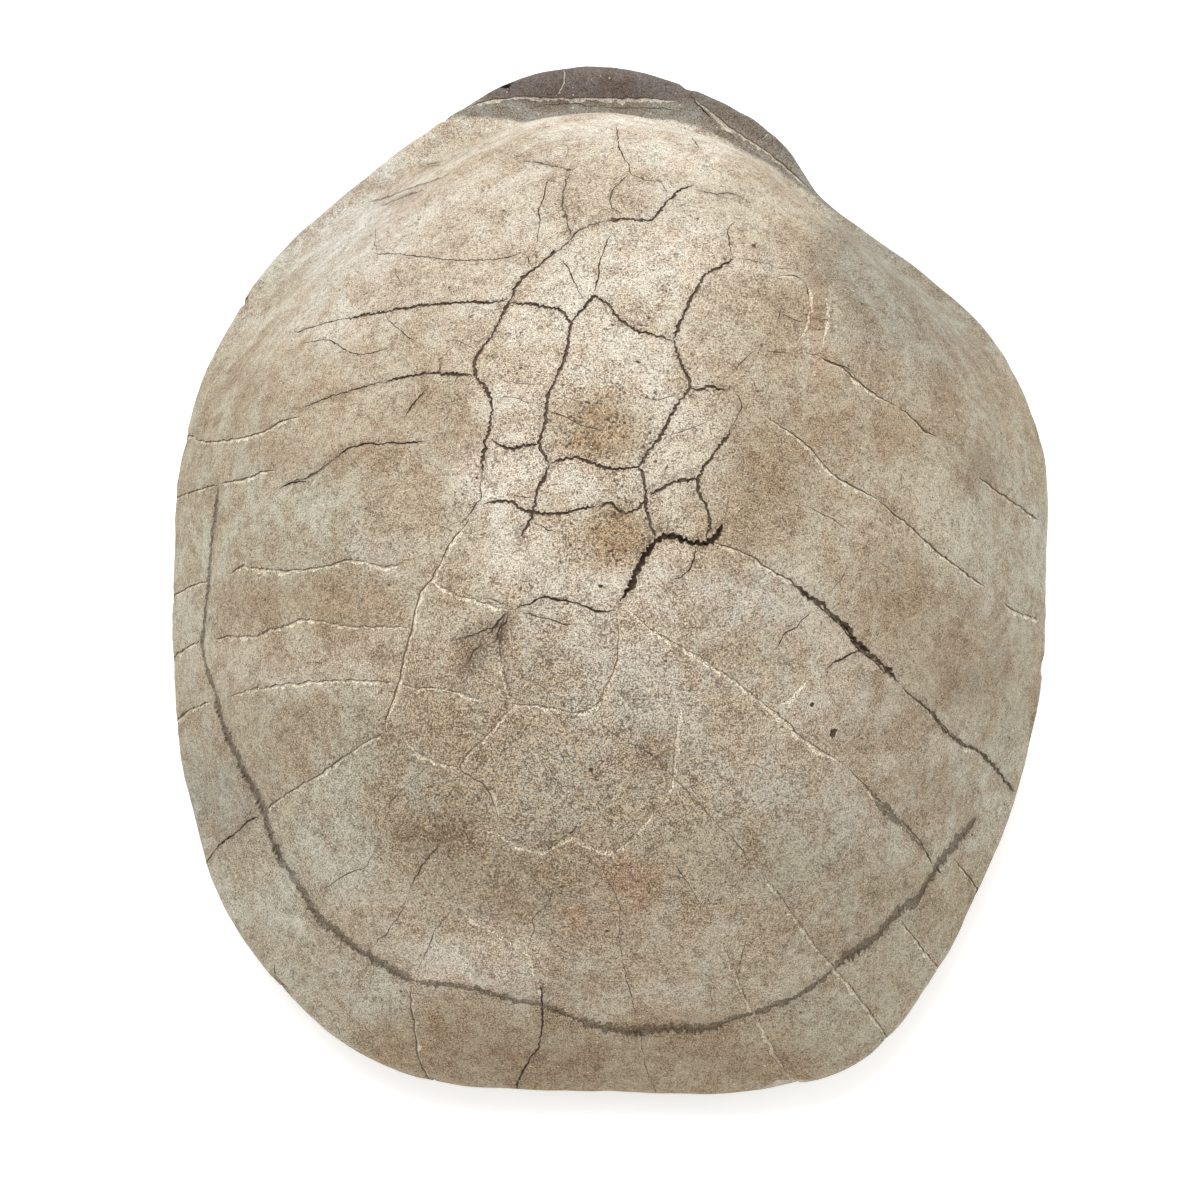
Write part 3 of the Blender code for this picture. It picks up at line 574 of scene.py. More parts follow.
        (578, 1019), (598, 1026), (622, 1030), (650, 1029), (680, 1028), (704, 1028), (724, 1023))),
    "margin_tail_right": Route(CrackKind.MARGIN_FINE, (
        (722, 1023), (740, 1016), (757, 1012), (778, 1004), (798, 996), (815, 985), (834, 968))),
    "margin_right": Route(CrackKind.MARGIN, (
        (832, 970), (845, 957), (860, 948), (876, 936), (889, 922), (904, 906), (918, 898), (928, 882),
        (936, 868), (946, 854), (958, 839), (976, 818))),
    "margin_fourth": Route(CrackKind.MARGIN_FINE, (
        (870, 790), (882, 806), (895, 818), (906, 828), (917, 840), (926, 853))),
}


# Seams of the flat belly, in millimetres across and along
BELLY_SEAMS: dict[str, tuple[Pixel, ...]] = {
    "belly_middle": ((1, 140), (-2, 100), (2, 62), (-1, 20), (2, -30), (-1, -80), (1, -130)),
    "belly_throat": ((-40, 122), (-18, 108), (0, 98), (18, 107), (40, 121)),
    "belly_arms": ((-62, 70), (-30, 63), (0, 60), (30, 64), (62, 69)),
    "belly_chest": ((-95, 42), (-50, 34), (0, 32), (50, 35), (95, 40)),
    "belly_bridge": ((-98, -32), (-52, -26), (0, -30), (52, -27), (98, -34)),
    "belly_thighs": ((-60, -72), (-30, -80), (0, -86), (30, -81), (60, -71)),
    "belly_tail": ((-36, -118), (-18, -110), (0, -104), (18, -111), (36, -119)),
    "belly_crack": ((12, 60), (24, 48), (27, 30), (41, 14), (46, -6)),
}


@dataclass(frozen=True)
class Pit:
    """A small hollow.

    Attributes:
        pixel: Its middle on the photograph.
        reach: Half its length, in metres.
        depth: Its depth, in metres.
        slot: Material of its walls.
    """

    pixel: Pixel
    reach: float
    depth: float
    slot: WallSlot = WallSlot.EARTH


PITS: dict[str, Pit] = {
    "crack_mouth": Pit((632, 584), 0.0017, 0.0030),
    "crack_corner": Pit((720, 530), 0.0013, 0.0026),
    "nuchal_knot": Pit((523, 277), 0.0011, 0.0009),
    "nuchal_corner": Pit((553, 253), 0.0012, 0.0009),
    "nuchal_wide": Pit((615, 220), 0.0015, 0.0008),
    "nuchal_wide_right": Pit((641, 221), 0.0010, 0.0007),
    "crown_knot": Pit((568, 170), 0.0009, 0.0007),
    "crown_low_knot": Pit((565, 216), 0.0010, 0.0007),
    "shoulder_nick": Pit((754, 246), 0.0010, 0.0007),
    "plate_slit": Pit((638, 362), 0.0007, 0.0008),
    "middle_dot": Pit((601, 586), 0.0008, 0.0009),
    "right_pit": Pit((833, 733), 0.0018, 0.0016),
    "right_small_pit": Pit((812, 705), 0.0009, 0.0009),
    "tail_pit": Pit((607, 931), 0.0009, 0.0008),
    "low_pit": Pit((591, 770), 0.0009, 0.0008),
}


@dataclass(frozen=True)
class Chip:
    """A bite out of the rim.

    Attributes:
        pixel: Its place on the photograph.
        inward: How far it bites in, in metres.
        height: Half its height, in metres.
        slot: Material of the break.
    """

    pixel: Pixel
    inward: float
    height: float
    slot: WallSlot = WallSlot.BREAK


CHIPS: dict[str, Chip] = {
    "tail": Chip((785, 1088), 0.0045, 0.007),
    "tail_left": Chip((277, 988), 0.0036, 0.006, WallSlot.BONE),
    "collar_right": Chip((689, 88), 0.0018, 0.008, WallSlot.BONE),
    "collar_left": Chip((507, 86), 0.0012, 0.006, WallSlot.BONE),
    "right": Chip((1033, 724), 0.0026, 0.006, WallSlot.BONE),
    "right_upper": Chip((1047, 664), 0.0024, 0.009, WallSlot.BONE),
    "left_upper": Chip((242, 300), 0.0012, 0.005, WallSlot.BONE),
    "left_collar": Chip((446, 119), 0.0012, 0.004, WallSlot.BONE),
}


@dataclass(frozen=True)
class Patch:
    """A soft patch of ground colour: middle, reach across and down in pixels, and strength."""

    middle: Pixel
    reach: Pixel
    tone: Tone
    strength: float = 1.0


# Ground colour, blended by nearness; the patches of shaded ash are painted shade
GROUNDS: tuple[Patch, ...] = (
    Patch((600, 145), (110, 40), Tone.PALE),
    Patch((470, 150), (80, 40), Tone.PALE),
    Patch((745, 190), (60, 50), Tone.SAND),
    Patch((470, 225), (80, 50), Tone.PALE),
    Patch((600, 190), (90, 50), Tone.PALE),
    Patch((340, 215), (60, 60), Tone.ASH),
    Patch((285, 290), (50, 50), Tone.MOSS),
    Patch((400, 270), (80, 40), Tone.PALE),
    Patch((600, 280), (100, 50), Tone.CREAM),
    Patch((625, 350), (60, 50), Tone.CREAM),
    Patch((520, 350), (50, 50), Tone.CREAM),
    Patch((760, 330), (60, 60), Tone.SAND),
    Patch((400, 350), (80, 40), Tone.SAND),
    Patch((290, 360), (70, 40), Tone.TAN),
    Patch((230, 400), (50, 50), Tone.OLIVE),
    Patch((390, 420), (90, 40), Tone.TAN),
    Patch((600, 420), (40, 40), Tone.CREAM),
    Patch((680, 440), (40, 50), Tone.CREAM),
    Patch((515, 470), (40, 30), Tone.CREST),
    Patch((590, 490), (60, 30), Tone.CREAM),
    Patch((560, 560), (60, 40), Tone.CREAM),
    # Painted shade: the right shoulder, where the flank turns away from the light.
    Patch((880, 270), (50, 50), Tone.SHADED_ASH),
    Patch((940, 330), (60, 60), Tone.SHADED_ASH),
    Patch((890, 400), (80, 60), Tone.TAN),
    Patch((990, 430), (50, 70), Tone.OLIVE),
    Patch((800, 440), (70, 60), Tone.BROWN),
    Patch((870, 520), (80, 60), Tone.SAND),
    Patch((1000, 560), (50, 70), Tone.MOSS),
    Patch((930, 640), (70, 60), Tone.BROWN),
    Patch((790, 640), (60, 50), Tone.SAND),
    Patch((1010, 700), (40, 60), Tone.OLIVE),
    Patch((840, 700), (60, 50), Tone.PALE),
    Patch((900, 770), (60, 50), Tone.SAND),
    Patch((740, 760), (80, 60), Tone.SAND),
    Patch((980, 800), (40, 50), Tone.MOSS),
    Patch((820, 860), (80, 60), Tone.OLIVE),
    Patch((930, 930), (50, 50), Tone.OLIVE),
    Patch((760, 950), (80, 40), Tone.SAND),
    Patch((850, 1010), (70, 40), Tone.OLIVE),
    Patch((200, 480), (40, 60), Tone.OLIVE),
    Patch((300, 530), (80, 40), Tone.MOSS),
    Patch((420, 540), (50, 50), Tone.SAND),
    Patch((190, 600), (40, 60), Tone.MOSS),
    Patch((300, 600), (80, 40), Tone.BROWN),
    Patch((300, 655), (90, 30), Tone.PALE),
    Patch((190, 700), (40, 60), Tone.OLIVE),
    Patch((310, 730), (70, 50), Tone.OLIVE),
    Patch((450, 640), (60, 50), Tone.SAND),
    Patch((560, 660), (60, 50), Tone.PALE),
    Patch((650, 690), (60, 60), Tone.PALE),
    Patch((450, 720), (50, 30), Tone.TAN),
    Patch((530, 780), (60, 40), Tone.SAND),
    # Painted shade low on the left flank.
    Patch((215, 800), (40, 50), Tone.SHADED_ASH),
    Patch((330, 830), (60, 50), Tone.MOSS),
    Patch((430, 820), (50, 50), Tone.BROWN),
    Patch((620, 790), (50, 40), Tone.SAND),
    Patch((500, 880), (70, 40), Tone.BROWN),
    Patch((640, 890), (70, 50), Tone.TAN),
    Patch((250, 880), (40, 50), Tone.MOSS),
    Patch((400, 920), (50, 40), Tone.SAND),
    Patch((480, 960), (60, 30), Tone.CREAM),
    Patch((620, 980), (80, 30), Tone.SAND),
    Patch((330, 985), (50, 40), Tone.MOSS),
    Patch((460, 1040), (70, 40), Tone.BROWN),
    Patch((620, 1065), (80, 35), Tone.BROWN),
    Patch((740, 1060), (60, 40), Tone.BROWN),
)

# Stains and pale patches laid over the ground, each with ragged edges; the two pale patches along the
# crown's far edge are painted highlight, and the wide band low at the bottom only darkens the near rim
STAINS: tuple[Patch, ...] = (
    Patch((600, 432), (46, 26), Tone.UMBER, 0.85),
    Patch((617, 526), (34, 24), Tone.UMBER, 0.90),
    Patch((600, 560), (50, 20), Tone.UMBER, 0.40),
    Patch((548, 508), (20, 12), Tone.UMBER, 0.45),
    Patch((690, 500), (24, 40), Tone.UMBER, 0.35),
    Patch((240, 700), (26, 40), Tone.BROWN, 0.40),
    Patch((250, 610), (30, 18), Tone.BROWN, 0.35),
    Patch((215, 860), (16, 40), Tone.BROWN, 0.35),
    Patch((500, 730), (36, 20), Tone.BROWN, 0.35),
    Patch((705, 655), (14, 12), Tone.DEEP, 0.45),
    Patch((770, 780), (60, 30), Tone.ASH, 0.25),
    Patch((860, 830), (40, 26), Tone.ASH, 0.25),
    Patch((880, 440), (36, 24), Tone.BROWN, 0.35),
    Patch((700, 980), (40, 18), Tone.MOSS, 0.40),
    Patch((560, 860), (30, 24), Tone.BROWN, 0.45),
    Patch((500, 622), (13, 16), Tone.DEEP, 0.65),
    Patch((470, 655), (17, 15), Tone.DEEP, 0.60),
    Patch((818, 272), (10, 16), Tone.DEEP, 0.50),
    Patch((432, 822), (24, 34), Tone.DEEP, 0.45),
    Patch((420, 790), (22, 22), Tone.MOSS, 0.6),
    Patch((530, 668), (40, 34), Tone.BROWN, 0.45),
    Patch((625, 885), (34, 26), Tone.RUST, 0.35),
    Patch((570, 917), (10, 10), Tone.RUST, 0.55),
    Patch((655, 755), (26, 22), Tone.DEEP, 0.35),
    Patch((975, 468), (20, 22), Tone.DEEP, 0.60),
    Patch((955, 405), (16, 18), Tone.BROWN, 0.60),
    Patch((961, 686), (18, 18), Tone.DEEP, 0.40),
    Patch((997, 670), (14, 16), Tone.DEEP, 0.40),
    Patch((816, 335), (9, 48), Tone.RUST, 0.30),
    Patch((787, 307), (18, 20), Tone.BROWN, 0.35),
    Patch((430, 400), (26, 20), Tone.BROWN, 0.35),
    Patch((340, 470), (50, 26), Tone.BROWN, 0.40),
    Patch((250, 570), (60, 9), Tone.MOSS, 0.6),
    Patch((380, 555), (36, 16), Tone.ASH, 0.35),
    Patch((300, 650), (90, 12), Tone.BROWN, 0.35),
    Patch((270, 760), (50, 26), Tone.BROWN, 0.35),
    Patch((880, 720), (50, 34), Tone.DEEP, 0.30),
    Patch((930, 790), (40, 30), Tone.DEEP, 0.30),
    Patch((700, 590), (30, 24), Tone.PALE, 0.45),
    Patch((745, 600), (50, 26), Tone.ASH, 0.40),
    Patch((760, 480), (50, 40), Tone.BROWN, 0.25),
    Patch((900, 590), (40, 30), Tone.BROWN, 0.35),
    Patch((730, 850), (60, 36), Tone.BROWN, 0.30),
    Patch((560, 985), (60, 16), Tone.DEEP, 0.25),
    Patch((830, 940), (50, 20), Tone.DEEP, 0.30),
    Patch((380, 200), (44, 10), Tone.BROWN, 0.30),
    Patch((700, 260), (60, 30), Tone.CREST, 0.45),
    Patch((600, 330), (44, 26), Tone.CREST, 0.20),
    # Painted highlight along the crown's far edge, where it turns to the light.
    Patch((680, 150), (60, 20), Tone.CREST, 0.55),
    Patch((570, 125), (90, 9), Tone.CREST, 0.60),
    Patch((500, 400), (24, 24), Tone.CREST, 0.35),
    Patch((320, 320), (60, 24), Tone.CREST, 0.25),
    # Darker along the near rim at the bottom.
    Patch((600, 1062), (190, 26), Tone.DEEP, 0.30),
    Patch((350, 590), (110, 60), Tone.BROWN, 0.22),
)

# Line where the dark collar at the head end meets the cream crown
COLLAR_EDGE: tuple[Pixel, ...] = (
    (380, 160), (446, 119), (462, 116), (488, 117), (510, 120), (532, 122), (562, 122), (597, 120),
    (640, 119), (673, 120), (695, 126), (718, 136), (739, 148), (769, 164), (796, 184), (815, 198),
    (831, 210), (850, 222),
)
COLLAR_START_COLUMN = 440
COLLAR_END_COLUMN = 850

# Where dark pits stand thickly, and where ochre grains do
PITTED_CROWN = Patch((610, 380), (190, 230), Tone.CREAM)
PITTED_UPPER = Patch((603, 432), (52, 34), Tone.UMBER)
PITTED_LOWER = Patch((617, 528), (42, 32), Tone.UMBER)
GRAINY_LOW = Patch((560, 780), (190, 170), Tone.BROWN)

# Keep the blend of grounds from dividing by nothing
LEAST_TOTAL = 1e-9
LEAST_SHARE = 1e-7

MILLIMETRES = 1000
FEWEST_POINTS = 3


def smooth_through(knots: np.ndarray, values: np.ndarray, at: np.ndarray) -> np.ndarray:
    """Smooth curve through values at uneven knots.

    Args:
        knots: Where the values stand, rising.
        values: One value for each knot.
        at: Where the curve is read.

    Returns:
        The curve's value at each place.
    """
    slope = np.gradient(values, knots)
    low = np.clip(np.searchsorted(knots, at, side="right") - 1, 0, len(knots) - 2)
    step = knots[low + 1] - knots[low]
    t = (at - knots[low]) / step
    rise = values[low] * (2 * t**3 - 3 * t**2 + 1) + values[low + 1] * (3 * t**2 - 2 * t**3)
    lean = slope[low] * (t**3 - 2 * t**2 + t) + slope[low + 1] * (t**3 - t**2)
    return rise + lean * step


def fade(value: np.ndarray, start: float, end: float) -> np.ndarray:
    """Smooth step from 0 at start to 1 at end."""
    t = np.clip((value - start) / (end - start), 0, 1)
    return t * t * (3 - 2 * t)


def link(thing: bpy.types.Object) -> None:
    """Put an object in the scene."""
    bpy.context.scene.collection.objects.link(thing)


def read_points(mesh: bpy.types.Mesh) -> np.ndarray:
    """A mesh's points as rows.

    Args:
        mesh: The mesh.

    Returns:
        Its points, in metres.
    """
    places = np.empty(len(mesh.vertices) * 3, np.float32)
    mesh.vertices.foreach_get("co", places)
    return places.reshape(-1, 3).astype(float)


def distances(places: Iterable[Vector], stations: list[Vector]) -> np.ndarray:
    """How far each place lies from the nearest station.

    Args:
        places: Places to measure from.
        stations: Places to measure to.

    Returns:
        A distance for each place.
    """
    tree = KDTree(len(stations))
    for number, station in enumerate(stations):
        tree.insert(station, number)
    tree.balance()
    return np.array([tree.find(place)[2] for place in places])


@dataclass(frozen=True)
class PhotoCamera:
    """Where the photograph was taken from, with pixels in its 1200 by 1200 frame.

    Attributes:
        target: Point in the middle of the picture.
        distance: From the lens to the target.
        tilt: How far the line of sight falls below level.
        focal_pixels: Focal length in pixels.
        frame_pixels: Width and height of the frame.
        sensor: Width of the sensor in millimetres.
        clip_near: Nearest distance that is shown.
        clip_far: Farthest distance that is shown.
    """

    target: Vector = Vector((-0.0042, -0.0230, 0.060)).freeze()
    distance: float = 0.94
    tilt: float = math.radians(70)
    focal_pixels: float = 2857
    frame_pixels: float = 1200
    sensor: float = 36
    clip_near: float = 0.01
    clip_far: float = 50

    def ahead(self) -> Vector:
        """Direction of sight."""
        return Vector((0, math.cos(self.tilt), -math.sin(self.tilt)))

    def above(self) -> Vector:
        """Direction that is up in the picture."""
        return Vector((0, math.sin(self.tilt), math.cos(self.tilt)))

    def eye(self) -> Vector:
        """Place of the lens."""
        return self.target - self.ahead() * self.distance

    def sight(self, pixel: Pixel) -> Vector:
        """Unit vector from the lens through a pixel.

        Args:
            pixel: Column and row on the photograph.

        Returns:
            The direction of sight.
        """
        half = self.frame_pixels / 2
        line = self.ahead() * self.focal_pixels
        line = line + Vector((pixel[0] - half, 0, 0)) + self.above() * (half - pixel[1])
        return line.normalized()

    def pixels_of(self, places: np.ndarray) -> np.ndarray:
        """Columns and rows at which points appear.

        Args:
            places: Points as rows, in metres.

        Returns:
            A column and a row for each point.
        """
        half = self.frame_pixels / 2
        line = places - np.array(self.eye())
        scale = self.focal_pixels / (line @ np.array(self.ahead()))
        return np.stack([half + line[:, 0] * scale, half - line @ np.array(self.above()) * scale], 1)

    def build(self) -> bpy.types.Object:
        """Make the camera and set it as the scene's.

        Returns:
            The camera.
        """
        data = bpy.data.cameras.new("photo_camera")
        data.sensor_width = self.sensor
        data.lens = self.sensor * self.focal_pixels / self.frame_pixels
        data.clip_start = self.clip_near
        data.clip_end = self.clip_far
        camera = bpy.data.objects.new("photo_camera", data)
        camera.location = self.eye()
        camera.rotation_euler = self.ahead().to_track_quat("-Z", "Y").to_euler()
        link(camera)
        bpy.context.scene.camera = camera
        return camera


@dataclass
class ShellForm:
    """The shell's plain form with its swells, before anything is cut into it.

    Attributes:
        size: Width, length and height of the shell.
        middle: Middle of its box on the ground.
        cuts: Cuts along each edge of the cube that the form starts from.
        dome_half_width: Half width of the dome's oval, as a share of the shell's width.
        dome_half_length: Half length of that oval, as a share of the shell's length.
        dome_middle_back: How far the oval's middle lies towards the tail.
        swell_height: Height of the long swells.
        swell_length: Length of the long swells.
        bump_height: Height of the bumps.
        bump_length: Length of the bumps.
        ripple_height: Height of the ripples.
        ripple_length: Length of the ripples.
        belly_share: Share of the shell's height below which it stays flat.
    """

    size: Vector
    middle: Vector
    cuts: int = 90
    dome_half_width: float = 0.5
    dome_half_length: float = 0.5
    dome_middle_back: float = 0.009
    swell_height: float = 0.0011
    swell_length: float = 0.034
    bump_height: float = 0.00035
    bump_length: float = 0.011
    ripple_height: float = 0.00018
    ripple_length: float = 0.0045
    belly_share: float = 0.02

    def rim_reach(self, direction: np.ndarray) -> np.ndarray:
        """How far the rim reaches from the shell's axis.

        Args:
            direction: Degrees from the animal's right side towards its head.

        Returns:
            The reach in each direction.
        """
        degrees, shares = np.array(RIM_OUTLINE).T
        knots = np.concatenate([degrees - 360, degrees, degrees + 360])
        return smooth_through(knots, np.tile(shares, 3), direction % 360) * self.size.x / 2

    def dome_reach(self, direction: np.ndarray) -> np.ndarray:
        """How far the even oval of the dome reaches.

        Args:
            direction: Degrees from the animal's right side towards its head.

        Returns:
            The reach in each direction.
        """
        turn = np.radians(direction)
        wide = self.dome_half_width * self.size.x * np.cos(turn) ** 2
        long = self.dome_half_length * self.size.y * np.sin(turn) ** 2
        return wide + long - self.dome_middle_back * np.sin(turn)

    def section_points(self, section: tuple, run: np.ndarray) -> tuple[np.ndarray, np.ndarray]:
        """A section's shares of reach and of height, with no kink at either end.

        Args:
            section: The section's points.
            run: How far along the section, 0 at the top and 1 at the middle of the belly.

        Returns:
            The shares of reach and the shares of height.
        """
        knots = np.array(RUN)
        points = np.array(section, float)
        mirror = (-1, 1)
        knots = np.concatenate([-knots[2:0:-1], knots, 2 - knots[-2:-4:-1]])
        points = np.concatenate([points[2:0:-1] * mirror, points, points[-2:-4:-1] * mirror])
        return smooth_through(knots, points[:, 0], run), smooth_through(knots, points[:, 1], run)

    def surface(self, direction: np.ndarray, run: np.ndarray) -> np.ndarray:
        """Points of the plain form.

        Args:
            direction: Degrees from the animal's right side towards its head.
            run: How far along the section, 0 at the top and 1 at the middle of the belly.

        Returns:
            The points as rows.
        """
        degrees = np.array(SECTION_DIRECTIONS)
        first = np.searchsorted(degrees, direction, side="right") - 1
        first = np.clip(first, 0, len(degrees) - 2)
        t = (direction - degrees[first]) / (degrees[first + 1] - degrees[first])
        blend = t * t * (3 - 2 * t)
        share = np.zeros(len(run))
        height = np.zeros(len(run))
        for number, section in enumerate(SECTION_ORDER):
            weight = np.where(first == number, 1 - blend, 0) + np.where(first + 1 == number, blend, 0)
            across, up = self.section_points(section, run)
            share += across * weight
            height += up * weight
        edge = np.clip(share, 0, 1) ** 2
        reach = share * (self.dome_reach(direction) * (1 - edge) + self.rim_reach(direction) * edge)
        turn = np.radians(direction)
        up = np.maximum(height, 0) * self.size.z
        return np.stack([reach * np.cos(turn), reach * np.sin(turn), up], 1)

    def rim_height(self, direction: np.ndarray) -> np.ndarray:
        """Height of the rim's edge."""
        return self.surface(direction, np.full(len(direction), RIM_RUN))[:, 2]

    def build(self) -> bmesh.types.BMesh:
        """Make the form from a cube whose points move onto the sections.

        Returns:
            The closed form.
        """
        mesh = bmesh.new()
        bmesh.ops.create_cube(mesh, size=2)
        bmesh.ops.subdivide_edges(mesh, edges=mesh.edges, cuts=self.cuts, use_grid_fill=True)
        cube = np.array([vertex.co for vertex in mesh.verts])
        ball = np.tan(cube * math.pi / 4)
        ball /= np.linalg.norm(ball, axis=1)[:, None]
        run = np.arccos(np.clip(ball[:, 2], -1, 1)) / math.pi
        direction = np.degrees(np.arctan2(ball[:, 1], ball[:, 0])) % 360
        for vertex, place in zip(mesh.verts, self.surface(direction, run)):
            vertex.co = place
        mesh.normal_update()
        self.add_swells(mesh)
        self.fit(mesh)
        mesh.normal_update()
        return mesh

    def add_swells(self, mesh: bmesh.types.BMesh) -> None:
        """Raise and lower the surface in gentle swells, bumps and ripples.

        Args:
            mesh: The form.
        """
        waves = (
            (self.swell_length, self.swell_height),
            (self.bump_length, self.bump_height),
            (self.ripple_length, self.ripple_height),
        )
        for vertex in mesh.verts:
            if vertex.co.z > self.belly_share * self.size.z:
                lift = sum(noise.noise(vertex.co / length) * height for length, height in waves)
                vertex.co += vertex.normal * lift

    def fit(self, mesh: bmesh.types.BMesh) -> None:
        """Bring the form to its size, with its box's foot at its middle.

        Args:
            mesh: The form.
        """
        places = np.array([vertex.co for vertex in mesh.verts])
        low, high = Vector(places.min(0)), Vector(places.max(0))
        foot = Vector(((low.x + high.x) / 2, (low.y + high.y) / 2, low.z))
        scale = Matrix.Diagonal([self.size[axis] / (high[axis] - low[axis]) for axis in range(3)])
        bmesh.ops.translate(mesh, verts=mesh.verts, vec=-foot)
        bmesh.ops.transform(mesh, verts=mesh.verts, matrix=scale.to_4x4())
        bmesh.ops.translate(mesh, verts=mesh.verts, vec=self.middle)


@dataclass
class CrackLine:
    """One route thrown onto the shell: stations a short step apart with the way the shell faces.

    Attributes:
        route: The line on the photograph.
        stations: Place and facing of each point.
        unevenness: How far a station strays along the line, as a share of a step.
        facing_reach: Length of line over which facings are averaged.
    """

    route: Route
    stations: list[Station]
    unevenness: float = 0.3
    facing_reach: float = 0.002

    @classmethod
    def throw(cls, route: Route, tree: BVHTree, camera: PhotoCamera) -> "CrackLine":
        """Throw a route onto the shell.

        Args:
            route: The line on the photograph.
            tree: The shell's surface.
            camera: Where the photograph was taken from.

        Returns:
            The line on the surface.
        """
        stations: list[Station] = []
        for pixel in cls.smooth_pixels(route.pixels):
            stations.append(cls.hit(pixel, tree, camera))
        if route.over_rim:
            stations += cls.run_under(stations[-1][0], tree)
        return cls(route, stations)

    @classmethod
    def lay(cls, route: Route, tree: BVHTree) -> "CrackLine":
        """Lay a route in millimetres on the underside.

        Args:
            route: The line, across and along the belly.
            tree: The shell's surface.

        Returns:
            The line on the surface.
        """
        stations: list[Station] = []
        for across, along in cls.smooth_pixels(route.pixels):
            below = Vector((across / MILLIMETRES, along / MILLIMETRES, -1))
            place, facing, _, _ = tree.ray_cast(below, Vector((0, 0, 1)))
            stations.append((place, facing))
        return cls(route, stations)

    @staticmethod
    def hit(pixel: Pixel, tree: BVHTree, camera: PhotoCamera, step: float = 1.0) -> Station:
        """Where a pixel falls on the shell; one beside the shell moves in to the shell's edge.

        Args:
            pixel: Column and row on the photograph.
            tree: The shell's surface.
            camera: Where the photograph was taken from.
            step: Pixels by which it moves in.

        Returns:
            Place and facing.
        """
        middle = camera.frame_pixels / 2
        inward = Vector((middle - pixel[0], middle - pixel[1])).normalized() * step
        column, row = pixel
        place, facing, _, _ = tree.ray_cast(camera.eye(), camera.sight((column, row)))
        while place is None:
            column += inward.x
            row += inward.y
            place, facing, _, _ = tree.ray_cast(camera.eye(), camera.sight((column, row)))
        return place, facing

    @staticmethod
    def smooth_pixels(pixels: tuple[Pixel, ...], pixels_per_step: float = 1.5) -> list[Pixel]:
        """Pixels close together on a smooth curve through the given ones.

        Args:
            pixels: The given pixels.
            pixels_per_step: Distance between the new ones.

        Returns:
            The new pixels.
        """
        corners = np.array(pixels, float)
        along = np.concatenate([[0], np.cumsum(np.linalg.norm(np.diff(corners, axis=0), axis=1))])
        at = np.linspace(0, along[-1], max(FEWEST_POINTS, int(along[-1] / pixels_per_step)))
        columns = smooth_through(along, corners[:, 0], at)
        rows = smooth_through(along, corners[:, 1], at)
        return list(zip(columns.tolist(), rows.tolist()))

    @staticmethod
    def run_under(start: Vector, tree: BVHTree, drop: float = 0.012, steps: int = 8) -> list[Station]:
        """Stations that go on over the rim's edge and down its side.

        Args:
            start: Last place on the upper side.
            tree: The shell's surface.
            drop: How far they go down.
            steps: How many there are.

        Returns:
            Place and facing of each.
        """
        found: list[Station] = []
        for step in range(1, steps + 1):
            place, facing, _, _ = tree.find_nearest(start - Vector((0, 0, drop * step / steps)))
            found.append((place, facing))
        return found

    def even_stations(self, step: float, chance: random.Random) -> list[Station]:
        """Stations about a step apart, with uneven spacing.

        Args:
            step: Mean distance between stations.
            chance: Source of the unevenness.

        Returns:
            Place and smoothed facing of each station.
        """
        places = np.array([place for place, _ in self.stations])
        facings = np.array([facing for _, facing in self.stations])
        along = np.concatenate([[0], np.cumsum(np.linalg.norm(np.diff(places, axis=0), axis=1))])
        count = max(FEWEST_POINTS, round(along[-1] / step))
        stray = self.unevenness
        marks = [(number + chance.uniform(-stray, stray)) / count for number in range(1, count)]
        marks = [0, *marks, 1]
        result: list[Station] = []
        for mark in marks:
            at = mark * along[-1]
            place = Vector([np.interp(at, along, places[:, axis]) for axis in range(3)])
            near = np.exp(-(((along - at) / self.facing_reach) ** 2))
            facing = Vector((facings * near[:, None]).sum(0)).normalized()
            result.append((place, facing))
        return result


def places_of(lines: Iterable[CrackLine], kind: CrackKind) -> list[Vector]:
    """Every station's place on the lines of one kind."""
    return [place for line in lines if line.route.kind is kind for place, _ in line.stations]


